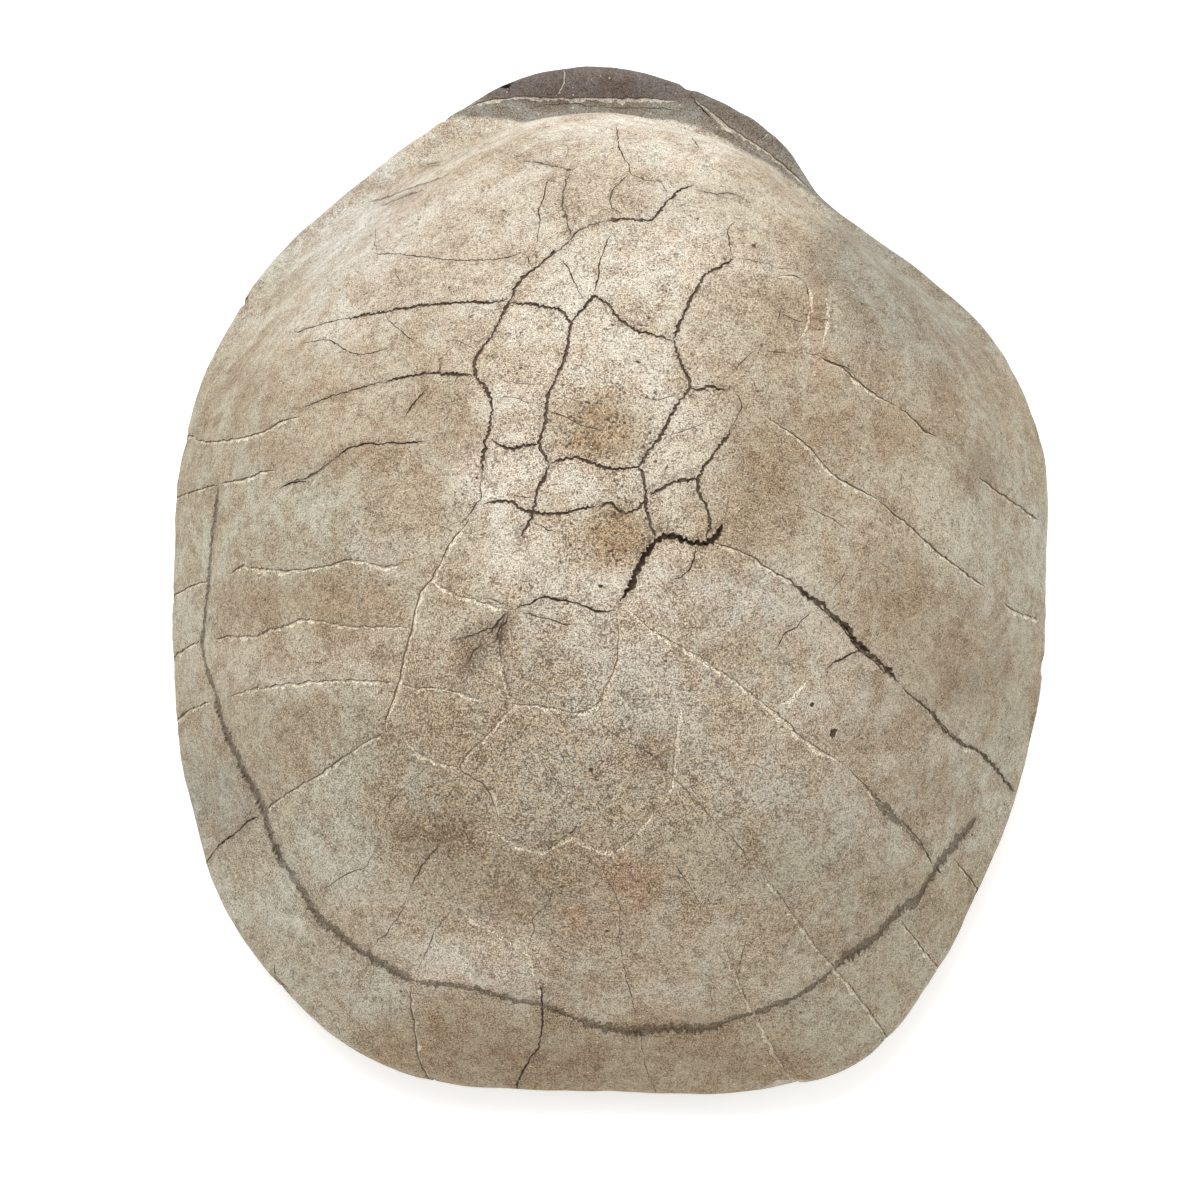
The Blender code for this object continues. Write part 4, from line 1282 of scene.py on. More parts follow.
@dataclass
class CrackCutter:
    """All the grooves, pits and chips as one solid that is taken out of the shell.

    Attributes:
        tree: The shell's surface.
        camera: Where the photograph was taken from.
        mesh: The solid so far.
        join: Distance below which points of a tube become one.
        lump_fineness: Subdivisions of the ball that a pit or chip starts from.
        lift: How far grooves stand out of the surface.
        lip_lift: How far the lip's edge stands out of it.
        end_share: Share of full size at a line's end.
        end_stations: Stations over which a line comes to full size.
        wander_length: Length of the slow strays from side to side.
        wander_gain: Strength of those strays.
        width_length: Length of the slow changes of width.
        width_change: Share by which width changes slowly.
        tooth_share: Chance that the next station jumps to the other side.
        tooth_reach: Least and greatest share of a jump.
        lip_bottom: Place of the deepest point under a lip, as a share of the left half width.
        depth_share: Share of the raggedness that the depth takes.
        pit_unevenness: Least and greatest share of a pit's radius.
        pit_narrowing: Width of a pit against its length.
        pit_rise: Share of its depth by which a pit's middle stands out of the surface.
        chip_unevenness: Least and greatest share of a chip's radius.
        chip_reach: Radius of a chip against how far it bites in.
        chip_widening: Width of a chip against its radius.
    """

    tree: BVHTree
    camera: PhotoCamera
    mesh: bmesh.types.BMesh = field(default_factory=bmesh.new)
    join: float = 1e-7
    lump_fineness: int = 2
    lift: float = 0.00035
    lip_lift: float = 0.00012
    end_share: float = 0.25
    end_stations: int = 4
    wander_length: float = 0.0045
    width_length: float = 0.006
    wander_gain: float = 1.6
    width_change: float = 0.45
    tooth_share: float = 0.7
    tooth_reach: tuple[float, float] = (0.1, 1.0)
    lip_bottom: float = 0.4
    depth_share: float = 0.5
    pit_unevenness: tuple[float, float] = (0.60, 1.25)
    pit_narrowing: float = 0.8
    pit_rise: float = 0.15
    chip_unevenness: tuple[float, float] = (0.8, 1.15)
    chip_reach: float = 1.6
    chip_widening: float = 1.3

    def section(
        self, shape: CrackShape, chance: random.Random, fine: float,
    ) -> list[tuple[float, float]]:
        """Cross-section of a groove at one station.

        Args:
            shape: The groove's sizes.
            chance: Source of its raggedness.
            fine: Share of full size, below 1 near the line's ends.

        Returns:
            Across and up for each point, from the left edge down and up to the right edge.
        """
        left = shape.half_width * fine * (1 + shape.ragged * chance.uniform(-1, 1))
        right = shape.half_width * fine * (1 + shape.ragged * chance.uniform(-1, 1))
        depth = shape.depth * fine * (1 + self.depth_share * shape.ragged * chance.uniform(-1, 1))
        if shape.highlit_lip:
            right = shape.highlit_lip * fine * (1 + shape.ragged * chance.uniform(-1, 1))
            return [(-left, self.lift), (-left * self.lip_bottom, -depth), (right, self.lip_lift)]
        if shape.floor == 0:
            return [(-left, self.lift), (0, -depth), (right, self.lift)]
        floor = [(-left * shape.floor, -depth), (right * shape.floor, -depth)]
        return [(-left, self.lift), *floor, (right, self.lift)]

    def across(self, stations: list[Station]) -> list[Vector]:
        """Sideways direction at each station, pointing towards the tail on the whole.

        Args:
            stations: Place and facing of each station.

        Returns:
            A unit vector for each station.
        """
        sides: list[Vector] = []
        for number, (_, facing) in enumerate(stations):
            before = stations[max(number - 1, 0)][0]
            after = stations[min(number + 1, len(stations) - 1)][0]
            sides.append(facing.cross(after - before).normalized())
        if sum(side.dot(self.camera.above()) for side in sides) > 0:
            sides = [-side for side in sides]
        return sides

    def add_line(self, name: str, line: CrackLine) -> None:
        """Add the groove of one line.

        Args:
            name: Seed of its unevenness.
            line: The line on the surface.
        """
        chance = random.Random(name)
        shape = CRACK_SHAPES[line.route.kind]
        stations = line.even_stations(shape.step, chance)
        start = chance.uniform(0, 100)
        rings: list[list[Vector]] = []
        side = 1
        for number, ((place, facing), across) in enumerate(zip(stations, self.across(stations))):
            from_end = min(number, len(stations) - 1 - number)
            fine = min(1, self.end_share + (1 - self.end_share) * from_end / self.end_stations)
            stray = noise.noise(Vector((start + number * shape.step / self.wander_length, 0, 0)))
            swing = noise.noise(Vector((start, number * shape.step / self.width_length, 0)))
            fine *= 1 + self.width_change * swing
            jump = shape.zigzag * side * chance.uniform(*self.tooth_reach)
            jump += shape.wander * stray * self.wander_gain * fine
            if chance.random() < self.tooth_share:
                side = -side
            ring = self.section(shape, chance, fine)
            rings.append([place + across * (x + jump) + facing * up for x, up in ring])
        self.add_tube(rings, shape)

    def add_tube(self, rings: list[list[Vector]], shape: CrackShape) -> None:
        """Add a closed tube through rings of points, and give its walls their materials.

        Args:
            rings: The points of each ring.
            shape: The groove's sizes and material.
        """
        around = len(rings[0])
        grid = bmesh.new()
        bmesh.ops.create_grid(grid, x_segments=len(rings) - 1, y_segments=around, size=1)
        for face in grid.faces:
            wall = int((face.calc_center_median().y + 1) / 2 * around)
            # The long slope towards the tail takes the lip finish, which is painted highlight.
            slot = WallSlot.HIGHLIT_LIP if shape.highlit_lip and wall == around - 2 else shape.wall
            face.material_index = slot.value
        for vertex in grid.verts:
            station = round((vertex.co.x + 1) / 2 * (len(rings) - 1))
            corner = round((vertex.co.y + 1) / 2 * around)
            vertex.co = rings[station][corner % around]
        bmesh.ops.remove_doubles(grid, verts=grid.verts, dist=self.join)
        ends = [edge for edge in grid.edges if edge.is_boundary]
        bmesh.ops.holes_fill(grid, edges=ends, sides=0)
        bmesh.ops.recalc_face_normals(grid, faces=grid.faces)
        self.merge(grid)

    def add_pit(self, name: str, pit: Pit) -> None:
        """Add a small uneven hollow.

        Args:
            name: Seed of its unevenness.
            pit: The hollow.
        """
        place, facing = CrackLine.hit(pit.pixel, self.tree, self.camera)
        turn = facing.to_track_quat("Z", "Y").to_matrix().to_4x4()
        size = Matrix.Diagonal((pit.reach, pit.reach * self.pit_narrowing, pit.depth, 1))
        where = Matrix.Translation(place + facing * pit.depth * self.pit_rise)
        self.add_lump(name, where @ turn @ size, self.pit_unevenness, pit.slot)

    def add_chip(self, name: str, chip: Chip) -> None:
        """Add an uneven lump that bites into the rim.

        Args:
            name: Seed of its unevenness.
            chip: The bite.
        """
        place, _ = CrackLine.hit(chip.pixel, self.tree, self.camera)
        outward = Vector((place.x, place.y, 0)).normalized()
        reach = chip.inward * self.chip_reach
        turn = outward.to_track_quat("X", "Z").to_matrix().to_4x4()
        size = Matrix.Diagonal((reach, reach * self.chip_widening, chip.height, 1))
        where = Matrix.Translation(place + outward * (reach - chip.inward))
        self.add_lump(name, where @ turn @ size, self.chip_unevenness, chip.slot)

    def add_lump(
        self, name: str, matrix: Matrix, unevenness: tuple[float, float], slot: WallSlot,
    ) -> None:
        """Add an uneven ball.

        Args:
            name: Seed of its unevenness.
            matrix: Its size, turn and place.
            unevenness: Least and greatest share of its radius.
            slot: Material of its walls.
        """
        chance = random.Random(name)
        lump = bmesh.new()
        bmesh.ops.create_icosphere(lump, subdivisions=self.lump_fineness, radius=1)
        for vertex in lump.verts:
            vertex.co *= chance.uniform(*unevenness)
        bmesh.ops.transform(lump, verts=lump.verts, matrix=matrix)
        for face in lump.faces:
            face.material_index = slot.value
        self.merge(lump)

    def merge(self, part: bmesh.types.BMesh) -> None:
        """Add a small closed mesh to the solid.

        Args:
            part: The mesh, which is freed.
        """
        holder = bpy.data.meshes.new("cutter_part")
        part.to_mesh(holder)
        part.free()
        self.mesh.from_mesh(holder)
        bpy.data.meshes.remove(holder)

    def build(self) -> bpy.types.Object:
        """Make the solid as an object.

        Returns:
            The object, linked to the scene.
        """
        shape = bpy.data.meshes.new("cracks_to_cut")
        self.mesh.to_mesh(shape)
        self.mesh.free()
        for slot in WallSlot:
            shape.materials.append(bpy.data.materials.get(f"shell_{slot.name.lower()}"))
        cutter = bpy.data.objects.new("cracks_to_cut", shape)
        link(cutter)
        return cutter


@dataclass
class GroundColour:
    """Ground colour, with its painted shade and highlight patches, and dirt at each point of the finished
    shell.

    Attributes:
        camera: Where the photograph was taken from.
        form: The plain form, for the height of its rim.
        warp: How far the edges of patches wander, in pixels.
        warp_length: Length of that wandering on the shell.
        stain_fullness: Above 1, so that a stain's middle is full and its edge firmer.
        under_start: Depth below the rim at which the hidden colours begin.
        under_fade: Depth at which they are full.
        head_fade: Start and end along the shell of the collar's colour on hidden faces.
        collar_fade: Pixels over which the collar's edge fades, on each side.
        collar_outside: Pixels beyond its end columns at which the collar is gone.
        collar_inside: Pixels inside them at which it is full.
        collar_height: Height above which it fades.
        collar_height_fade: Height over which it does.
        collar_low_band: Pixels beyond its edge between its light and dark colours.
        collar_right_band: Columns between its middle and right colours.
        pitting_all: Pitting everywhere.
        pitting_crown: More of it on the crown.
        pitting_plates: More of it on the two plates of the crown.
        ochre_all: Ochre grains everywhere.
        ochre_low: More of them below the middle.
        grain_stretch: How fast radial grain changes outwards.
    """

    camera: PhotoCamera
    form: ShellForm
    warp: float = 16
    warp_length: float = 0.012
    stain_fullness: float = 1.5
    under_start: float = 0.002
    under_fade: float = 0.006
    head_fade: tuple[float, float] = (0.09, 0.14)
    collar_fade: float = 1.0
    collar_outside: float = 30
    collar_inside: float = 20
    collar_height: float = 0.062
    collar_height_fade: float = 0.006
    collar_low_band: tuple[float, float] = (16, 22)
    collar_right_band: tuple[float, float] = (660, 740)
    pitting_all: float = 0.25
    pitting_crown: float = 0.30
    pitting_plates: float = 0.70
    ochre_all: float = 0.15
    ochre_low: float = 0.75
    grain_stretch: float = 2

    def paint(self, shell: bpy.types.Object, lines: Iterable[CrackLine]) -> None:
        """Write a shell's attributes: tone, soil, pitting, ochre and grain.

        Args:
            shell: The finished shell.
            lines: The cracks that dirt lies beside.
        """
        mesh = shell.data
        places = read_points(mesh)
        seen = self.camera.pixels_of(places)
        pixels = seen + self.wander(places)
        tone = self.add_collar(self.blend(pixels), seen, places[:, 2])
        tone = self.add_hidden(tone, places)
        soil = self.soil(places, lines)
        self.write_colour(mesh, "tone", tone)
        self.write_value(mesh, "soil", soil)
        self.write_value(mesh, "pitting", self.pitting(pixels))
        self.write_value(mesh, "ochre", self.ochre(pixels))
        self.write_grain(mesh, places)

    def wander(self, places: np.ndarray) -> np.ndarray:
        """Offsets in pixels that make the edges of patches uneven."""
        steps = [noise.noise_vector(Vector(place) / self.warp_length) for place in places]
        return np.array(steps)[:, :2] * self.warp

    @staticmethod
    def nearness(pixels: np.ndarray, patch: Patch) -> np.ndarray:
        """How much each point belongs to a patch, from 0 to 1."""
        away = (pixels - np.array(patch.middle)) / np.array(patch.reach)
        return np.exp(-(away**2).sum(1))

    def blend(self, pixels: np.ndarray) -> np.ndarray:
        """Ground colour with its stains, painted shade and painted highlight.

        Args:
            pixels: Each point's place in the photograph.

        Returns:
            A colour for each point.
        """
        total = np.full(len(pixels), LEAST_TOTAL)
        tone = np.zeros((len(pixels), 3))
        for patch in GROUNDS:
            share = self.nearness(pixels, patch) * patch.strength + LEAST_SHARE
            tone += share[:, None] * np.array(patch.tone.value)
            total += share
        tone /= total[:, None]
        for patch in STAINS:
            full = np.clip(self.nearness(pixels, patch) * self.stain_fullness, 0, 1)
            share = (full * patch.strength)[:, None]
            tone = tone * (1 - share) + np.array(patch.tone.value) * share
        return tone

    def add_hidden(self, tone: np.ndarray, places: np.ndarray) -> np.ndarray:
        """Lay plain colours where the photograph doesn't see.

        Args:
            tone: Ground colours.
            places: Points as rows.

        Returns:
            The colours with the hidden ones.
        """
        under = self.under(places)[:, None]
        head = fade(places[:, 1], *self.head_fade)[:, None]
        hidden = np.array(Tone.OLIVE.value) * (1 - head) + np.array(Tone.COLLAR.value) * head
        return tone * (1 - under) + hidden * under

    def add_collar(self, tone: np.ndarray, pixels: np.ndarray, heights: np.ndarray) -> np.ndarray:
        """Lay the dark collar over the head end.

        Args:
            tone: Ground colours.
            pixels: Each point's place in the photograph.
            heights: Each point's height, because the slope behind the crown isn't collar.

        Returns:
            The colours with the collar.
        """
        columns, rows = np.array(COLLAR_EDGE).T
        edge = np.interp(pixels[:, 0], columns, rows)
        beyond = fade(edge - pixels[:, 1], -self.collar_fade, self.collar_fade)
        start, end = COLLAR_START_COLUMN, COLLAR_END_COLUMN
        beyond *= fade(pixels[:, 0], start - self.collar_outside, start + self.collar_inside)
        beyond *= 1 - fade(pixels[:, 0], end - self.collar_inside, end + self.collar_outside)
        beyond *= 1 - fade(heights, self.collar_height, self.collar_height + self.collar_height_fade)
        high = fade(edge - pixels[:, 1], *self.collar_low_band)[:, None]
        right = fade(pixels[:, 0], *self.collar_right_band)[:, None]
        dark = np.array(Tone.COLLAR.value) * (1 - right) + np.array(Tone.COLLAR_RIGHT.value) * right
        colour = np.array(Tone.COLLAR_LOW.value) * (1 - high) + dark * high
        return tone * (1 - beyond[:, None]) + colour * beyond[:, None]

    def under(self, places: np.ndarray) -> np.ndarray:
        """1 below the rim, where the photograph doesn't see, and 0 above it."""
        direction = np.degrees(np.arctan2(places[:, 1], places[:, 0])) % 360
        return fade(self.form.rim_height(direction) - places[:, 2], self.under_start, self.under_fade)

    @staticmethod
    def soil(places: np.ndarray, lines: Iterable[CrackLine]) -> np.ndarray:
        """Dirt beside the cracks, from 0 to 1.

        Args:
            places: Points as rows.
            lines: The cracks.

        Returns:
            A number for each point.
        """
        soil = np.zeros(len(places))
        for kind, shape in CRACK_SHAPES.items():
            stations = places_of(lines, kind)
            if shape.soil == 0 or not stations:
                continue
            away = distances(places, stations)
            soil = np.maximum(soil, np.exp(-((away / shape.soil_reach) ** 2)) * shape.soil)
        return soil

    def pitting(self, pixels: np.ndarray) -> np.ndarray:
        """How thickly dark pits stand, most on the crown's plates.

        Args:
            pixels: Each point's place in the photograph.

        Returns:
            A number for each point, 0 to 1.
        """
        crown = self.nearness(pixels, PITTED_CROWN)
        plates = np.maximum(self.nearness(pixels, PITTED_UPPER), self.nearness(pixels, PITTED_LOWER))
        level = self.pitting_all + self.pitting_crown * crown + self.pitting_plates * plates
        return np.clip(level, 0, 1)

    def ochre(self, pixels: np.ndarray) -> np.ndarray:
        """How thickly ochre grains stand, most below the middle."""
        return np.clip(self.ochre_all + self.ochre_low * self.nearness(pixels, GRAINY_LOW), 0, 1)

    @staticmethod
    def write_colour(mesh: bpy.types.Mesh, name: str, colour: np.ndarray) -> None:
        """Store a colour for each point.

        Args:
            mesh: The shell's mesh.
            name: Name of the attribute.
            colour: The colours as rows.
        """
        layer = mesh.attributes.new(name, "FLOAT_COLOR", "POINT")
        rows = np.concatenate([colour, np.ones((len(colour), 1))], 1)
        layer.data.foreach_set("color", rows.astype(np.float32).ravel())

    @staticmethod
    def write_value(mesh: bpy.types.Mesh, name: str, value: np.ndarray) -> None:
        """Store a number for each point."""
        layer = mesh.attributes.new(name, "FLOAT", "POINT")
        layer.data.foreach_set("value", value.astype(np.float32))

    def write_grain(self, mesh: bpy.types.Mesh, places: np.ndarray) -> None:
        """Store a place that runs fast round the shell and slowly outwards, for radial grain.

        Args:
            mesh: The shell's mesh.
            places: Points as rows.
        """
        reach = np.linalg.norm(places[:, :2], axis=1)
        turn = np.arctan2(places[:, 1], places[:, 0])
        grain = np.stack([np.cos(turn), np.sin(turn), reach * self.grain_stretch], 1)
        layer = mesh.attributes.new("grain", "FLOAT_VECTOR", "POINT")
        layer.data.foreach_set("vector", grain.astype(np.float32).ravel())


Plug = bpy.types.NodeSocket | float | Colour
NOISE_MIDDLE = 0.5


@dataclass(frozen=True)
class Clouds:
    """One noise pattern: clouds in a metre, levels of detail, roughness and distortion."""

    scale: float
    detail: float
    roughness: float
    distortion: float = 0


@dataclass(frozen=True)
class Span:
    """A range of one value and the range of another that it becomes."""

    low: float
    high: float
    to_low: float = 0
    to_high: float = 1


@dataclass(frozen=True)
class Dots:
    """Scattered dots.

    Attributes:
        scale: Cells in a metre.
        radius: A dot's radius, as a share of a cell.
        strength: Strength of a dot, 0 to 1.
        core: Share of the radius that has the full strength.
    """

    scale: float
    radius: float
    strength: float
    core: float = 0.70


class NodeSheet:
    """Short way to write one material's nodes."""

    def __init__(self, name: str) -> None:
        """Start a material with its shader.

        Args:
            name: The material's name.
        """
        self.material = bpy.data.materials.new(name)
        self.material.use_nodes = True
        self.tree = self.material.node_tree
        self.shader = self.tree.nodes["Principled BSDF"]

    def plug(self, socket: bpy.types.NodeSocket, value: Plug) -> None:
        """Link a socket or set its number.

        Args:
            socket: The socket to fill.
            value: Another socket, a number or a colour.
        """
        if isinstance(value, bpy.types.NodeSocket):
            self.tree.links.new(value, socket)
        elif isinstance(value, tuple) and len(socket.default_value) == 4:
            socket.default_value = (*value, 1)
        else:
            socket.default_value = value

    def place(self) -> bpy.types.NodeSocket:
        """Object coordinates in metres."""
        return self.tree.nodes.new("ShaderNodeTexCoord").outputs["Object"]

    def attribute(self, name: str, output: str = "Fac") -> bpy.types.NodeSocket:
        """A stored attribute: Fac, Color or Vector.

        Args:
            name: Name of the attribute.
            output: Which form of it.

        Returns:
            The attribute.
        """
        node = self.tree.nodes.new("ShaderNodeAttribute")
        node.attribute_name = name
        return node.outputs[output]

    def noise(self, vector: Plug, clouds: Clouds) -> bpy.types.NodeSocket:
        """Cloudy noise from 0 to 1.

        Args:
            vector: Place on the surface.
            clouds: The pattern.

        Returns:
            The noise.
        """
        node = self.tree.nodes.new("ShaderNodeTexNoise")
        self.plug(node.inputs["Vector"], vector)
        node.inputs["Scale"].default_value = clouds.scale
        node.inputs["Detail"].default_value = clouds.detail
        node.inputs["Roughness"].default_value = clouds.roughness
        node.inputs["Distortion"].default_value = clouds.distortion
        return node.outputs["Fac"]

    def dots(self, vector: Plug, dots: Dots, share: Plug) -> bpy.types.NodeSocket:
        """Round dots in a share of the cells of a scattered pattern.

        Args:
            vector: Place on the surface.
            dots: Their size and strength.
            share: Share of the cells that have a dot, 0 to 1.

        Returns:
            The dots' strength in a dot and 0 outside.
        """
        node = self.tree.nodes.new("ShaderNodeTexVoronoi")
        self.plug(node.inputs["Vector"], vector)
        node.inputs["Scale"].default_value = dots.scale
        chosen = self.maths("GREATER_THAN", node.outputs["Color"], self.maths("SUBTRACT", 1.0, share))
        inside = self.spread(node.outputs["Distance"], Span(dots.radius, dots.radius * dots.core))
        return self.times(self.times(chosen, inside), dots.strength)

    def spread(self, value: Plug, span: Span) -> bpy.types.NodeSocket:
        """Bring a range of a value to another range, and hold it there.

        Args:
            value: The value.
            span: Both ranges.

        Returns:
            The new value.
        """
        node = self.tree.nodes.new("ShaderNodeMapRange")
        self.plug(node.inputs["Value"], value)
        node.inputs["From Min"].default_value = span.low
        node.inputs["From Max"].default_value = span.high
        node.inputs["To Min"].default_value = span.to_low
        node.inputs["To Max"].default_value = span.to_high
        return node.outputs["Result"]

    def near_middle(self, level: Plug, span: Span) -> bpy.types.NodeSocket:
        """Winding lines, 1 where a noise passes its middle level."""
        away = self.maths("ABSOLUTE", self.maths("SUBTRACT", level, NOISE_MIDDLE))
        return self.spread(away, span)

    def plus(self, first: Plug, second: Plug) -> bpy.types.NodeSocket:
        """Sum of two values."""
        return self.maths("ADD", first, second)

    def times(self, first: Plug, second: Plug) -> bpy.types.NodeSocket:
        """Product of two values."""
        return self.maths("MULTIPLY", first, second)

    def maths(self, operation: str, first: Plug, second: Plug = 0.0) -> bpy.types.NodeSocket:
        """Arithmetic on two values.

        Args:
            operation: Name of the operation.
            first: First value.
            second: Second value.

        Returns:
            The result.
        """
        node = self.tree.nodes.new("ShaderNodeMath")
        node.operation = operation
        self.plug(node.inputs[0], first)
        self.plug(node.inputs[1], second)
        return node.outputs[0]

    def mix(self, share: Plug, first: Plug, second: Plug, blend: str = "MIX") -> bpy.types.NodeSocket:
        """Mix two colours.

        Args:
            share: Share of the second.
            first: First colour.
            second: Second colour.
            blend: Name of the way they mix.

        Returns:
            The mixed colour.
        """
        node = self.tree.nodes.new("ShaderNodeMix")
        node.data_type = "RGBA"
        node.blend_type = blend
        self.plug(node.inputs[0], share)
        self.plug(node.inputs[6], first)
        self.plug(node.inputs[7], second)
        return node.outputs[2]

    def scale(self, colour: Plug, factor: Plug) -> bpy.types.NodeSocket:
        """Brighten or darken a colour by a factor.

        Args:
            colour: The colour.
            factor: The factor.

        Returns:
            The new colour.
        """
        node = self.tree.nodes.new("ShaderNodeVectorMath")
        node.operation = "SCALE"
        self.plug(node.inputs[0], colour)
        self.plug(node.inputs["Scale"], factor)
        return node.outputs[0]

    def bump(self, height: Plug, distance: float, strength: float = 1) -> None:
        """Give the shader a bumpy surface.

        Args:
            height: Height, 0 to 1 or so.
            distance: Metres that a height of 1 stands for.
            strength: Share of the effect.
        """
        node = self.tree.nodes.new("ShaderNodeBump")
        node.inputs["Strength"].default_value = strength
        node.inputs["Distance"].default_value = distance
        self.plug(node.inputs["Height"], height)
        self.plug(self.shader.inputs["Normal"], node.outputs["Normal"])


@dataclass(frozen=True)
class BoneFinish:
    """Dry mineralised bone: ground colour from the shell's own attributes, mottled, gritty and pitted.

    Attributes:
        light: Brightness against the ground, above 1 on raised lips, where it is painted highlight, and
            below 1 in silted grooves.
        highlight_share: Share of pale colour on lips, painted highlight of the slope that faces the light.
        highlight_colour: The pale colour of that painted highlight.
        shaded: Factor of the ground colour in the darkest mottles.
        lit: Factor of it in the lightest.
        warm: Factor of it in warmer patches.
        cool: Factor of it in cooler patches.
    """

    light: float = 1.0
    highlight_share: float = 0.0
    highlight_colour: Colour = (0.65, 0.60, 0.49)
    shaded: Colour = (0.315, 0.255, 0.180)
    lit: Colour = (1.50, 1.53, 1.54)
    warm: Colour = (1.03, 0.985, 0.90)
    cool: Colour = (0.975, 1.0, 0.96)
    dirt: Colour = (0.125, 0.088, 0.058)
    speck_colour: Colour = (0.10, 0.066, 0.043)
    fleck_colour: Colour = (0.80, 0.73, 0.62)
    grain_colour: Colour = (0.72, 0.52, 0.29)
    vein_colour: Colour = (0.15, 0.108, 0.072)
    roughness: Span = Span(0.3, 0.7, 0.80, 0.97)
    specular: float = 0.22
    relief: float = 0.0008

    # Noises, from the broadest mottles to the finest dust
    broad: Clouds = Clouds(42, 4, 0.62, 0.8)
    cloud: Clouds = Clouds(85, 5, 0.70, 1.2)
    patchy: Clouds = Clouds(210, 4, 0.74, 1.0)
    crumbs: Clouds = Clouds(460, 3, 0.75)
    grit: Clouds = Clouds(1500, 2, 0.75)
    dust: Clouds = Clouds(3000, 1, 0.7)
    fibre: Clouds = Clouds(60, 4, 0.65)

    # How much crisper the crown's plates and the ochre ground are
    pitting_crisp: float = 0.62
    patchy_crisp: Span = Span(0.42, 0.58, 1.25, 0.65)

    # Warmer and cooler patches
    cast_of_cloud: float = 0.6
    cast_warm: Span = Span(0.74, 0.86)

    # Brightness that each noise gives, from its low end to its high end
    broad_light: Span = Span(0.43, 0.57, 1.085, 0.89)
    cloud_light: Span = Span(0.45, 0.56, 0.06, -0.07)
    patchy_light: Span = Span(0.42, 0.58, 0.12, -0.14)
    crumbs_light: Span = Span(0.38, 0.62, 0.14, -0.15)
    grit_light: Span = Span(0.30, 0.70, 0.40, -0.40)
    dust_light: Span = Span(0.30, 0.70, 0.60, -0.60)
    fibre_light: Span = Span(0.32, 0.68, 0.05, -0.06)
    # Creases darken the colour: painted shade.
    wrinkle_light: Span = Span(0, 1, 1, 0.62)
    brightness: Span = Span(0.3, 1.5)

    # Strength of the fine and middle noises where ochre grains and pits stand
    fine_on_ochre: Span = Span(0, 1, 0.36, 2.3)
    fine_on_pitting: Span = Span(0.3, 0.6, 1.0, 1.45)
    middle_on_ochre: Span = Span(0, 1, 0.34, 1.35)

    # Pale flecks, painted highlights of the fine relief, and dirt
    flecks: Dots = Dots(1250, 0.42, 0.62)
    fleck_share: Span = Span(0, 1, 0.05, 0.36)
    dirt_breaks: Span = Span(0.35, 0.60, 0.35, 1)

    # Height of the bumps
    grit_height: Span = Span(0, 1, 0.4, 1.4)
    crumbs_height: float = 0.8
    patchy_height: float = 1.2

    # Creases, darkened in the colour as painted shade, with no relief
    wrinkle_noise: Clouds = Clouds(230, 3, 0.78, 0.5)
    wrinkle_width: Span = Span(0.0, 0.030, 1, 0)
    wrinkle_crowd_noise: Clouds = Clouds(110, 4, 0.65)
    wrinkle_crowd: Span = Span(0.42, 0.62)
    wrinkle_on_crisp: Span = Span(0, 1, 0.55, 1)

    # Veins
    vein_noise: Clouds = Clouds(80, 4, 0.66, 0.3)
    vein_width: Span = Span(0.006, 0.020, 1, 0)
    vein_gap_noise: Clouds = Clouds(150, 3, 0.6)
    vein_gaps: Span = Span(0.46, 0.54)
    vein_on_crisp: Span = Span(0, 1, 0.30, 0.85)

    # Dark specks, fine and large
    speck_noise: Clouds = Clouds(150, 4, 0.80)
    speck_of_cloud: float = 0.35
    speck_of_pitting: float = 0.30
    fine_specks: Dots = Dots(1100, 0.44, 0.60)
    fine_share: Span = Span(0.66, 1.00, 0.08, 0.85)
    large_specks: Dots = Dots(640, 0.38, 0.92)
    large_share: Span = Span(0.84, 1.06, 0.03, 0.80)

    # Ochre grains
    grain_noise: Clouds = Clouds(200, 3, 0.7)
    grain_crowd: Span = Span(0.45, 0.60, 0.03, 0.50)
    grain_on_ochre: Span = Span(0.15, 0.9)
    grain_dots: Dots = Dots(850, 0.50, 0.66)

    def build(self, name: str) -> bpy.types.Material:
        """Make the material.

        Args:
            name: The material's name.

        Returns:
            The material.
        """
        sheet = NodeSheet(name)
        place = sheet.place()
        broad = sheet.noise(place, self.broad)
        cloud = sheet.noise(place, self.cloud)
        patchy = sheet.noise(place, self.patchy)
        crumbs = sheet.noise(place, self.crumbs)
        grit = sheet.noise(place, self.grit)
        pitting = sheet.attribute("pitting")
        ochre = sheet.attribute("ochre")
        crisp = sheet.maths("MAXIMUM", sheet.times(pitting, self.pitting_crisp), ochre)
        crisp = sheet.times(crisp, sheet.spread(patchy, self.patchy_crisp))
        tone = sheet.attribute("tone", "Color")
        warm = sheet.mix(1.0, tone, self.warm, "MULTIPLY")
        cool = sheet.mix(1.0, tone, self.cool, "MULTIPLY")
        cast = sheet.plus(broad, sheet.times(cloud, self.cast_of_cloud))
        colour = sheet.mix(sheet.spread(cast, self.cast_warm), cool, warm)
        fine = sheet.spread(grit, self.grit_light)
        fine = sheet.plus(fine, sheet.spread(sheet.noise(place, self.dust), self.dust_light))
        fine = sheet.times(fine, sheet.spread(ochre, self.fine_on_ochre))
        fine = sheet.times(fine, sheet.spread(pitting, self.fine_on_pitting))
        bright = sheet.spread(broad, self.broad_light)
        bright = sheet.plus(bright, sheet.spread(cloud, self.cloud_light))
        middle = sheet.spread(patchy, self.patchy_light)
        middle = sheet.plus(middle, sheet.spread(crumbs, self.crumbs_light))
        middle = sheet.times(middle, sheet.spread(ochre, self.middle_on_ochre))
        bright = sheet.plus(bright, middle)
        bright = sheet.plus(bright, fine)
        fibre = sheet.noise(sheet.attribute("grain", "Vector"), self.fibre)
        bright = sheet.plus(bright, sheet.spread(fibre, self.fibre_light))
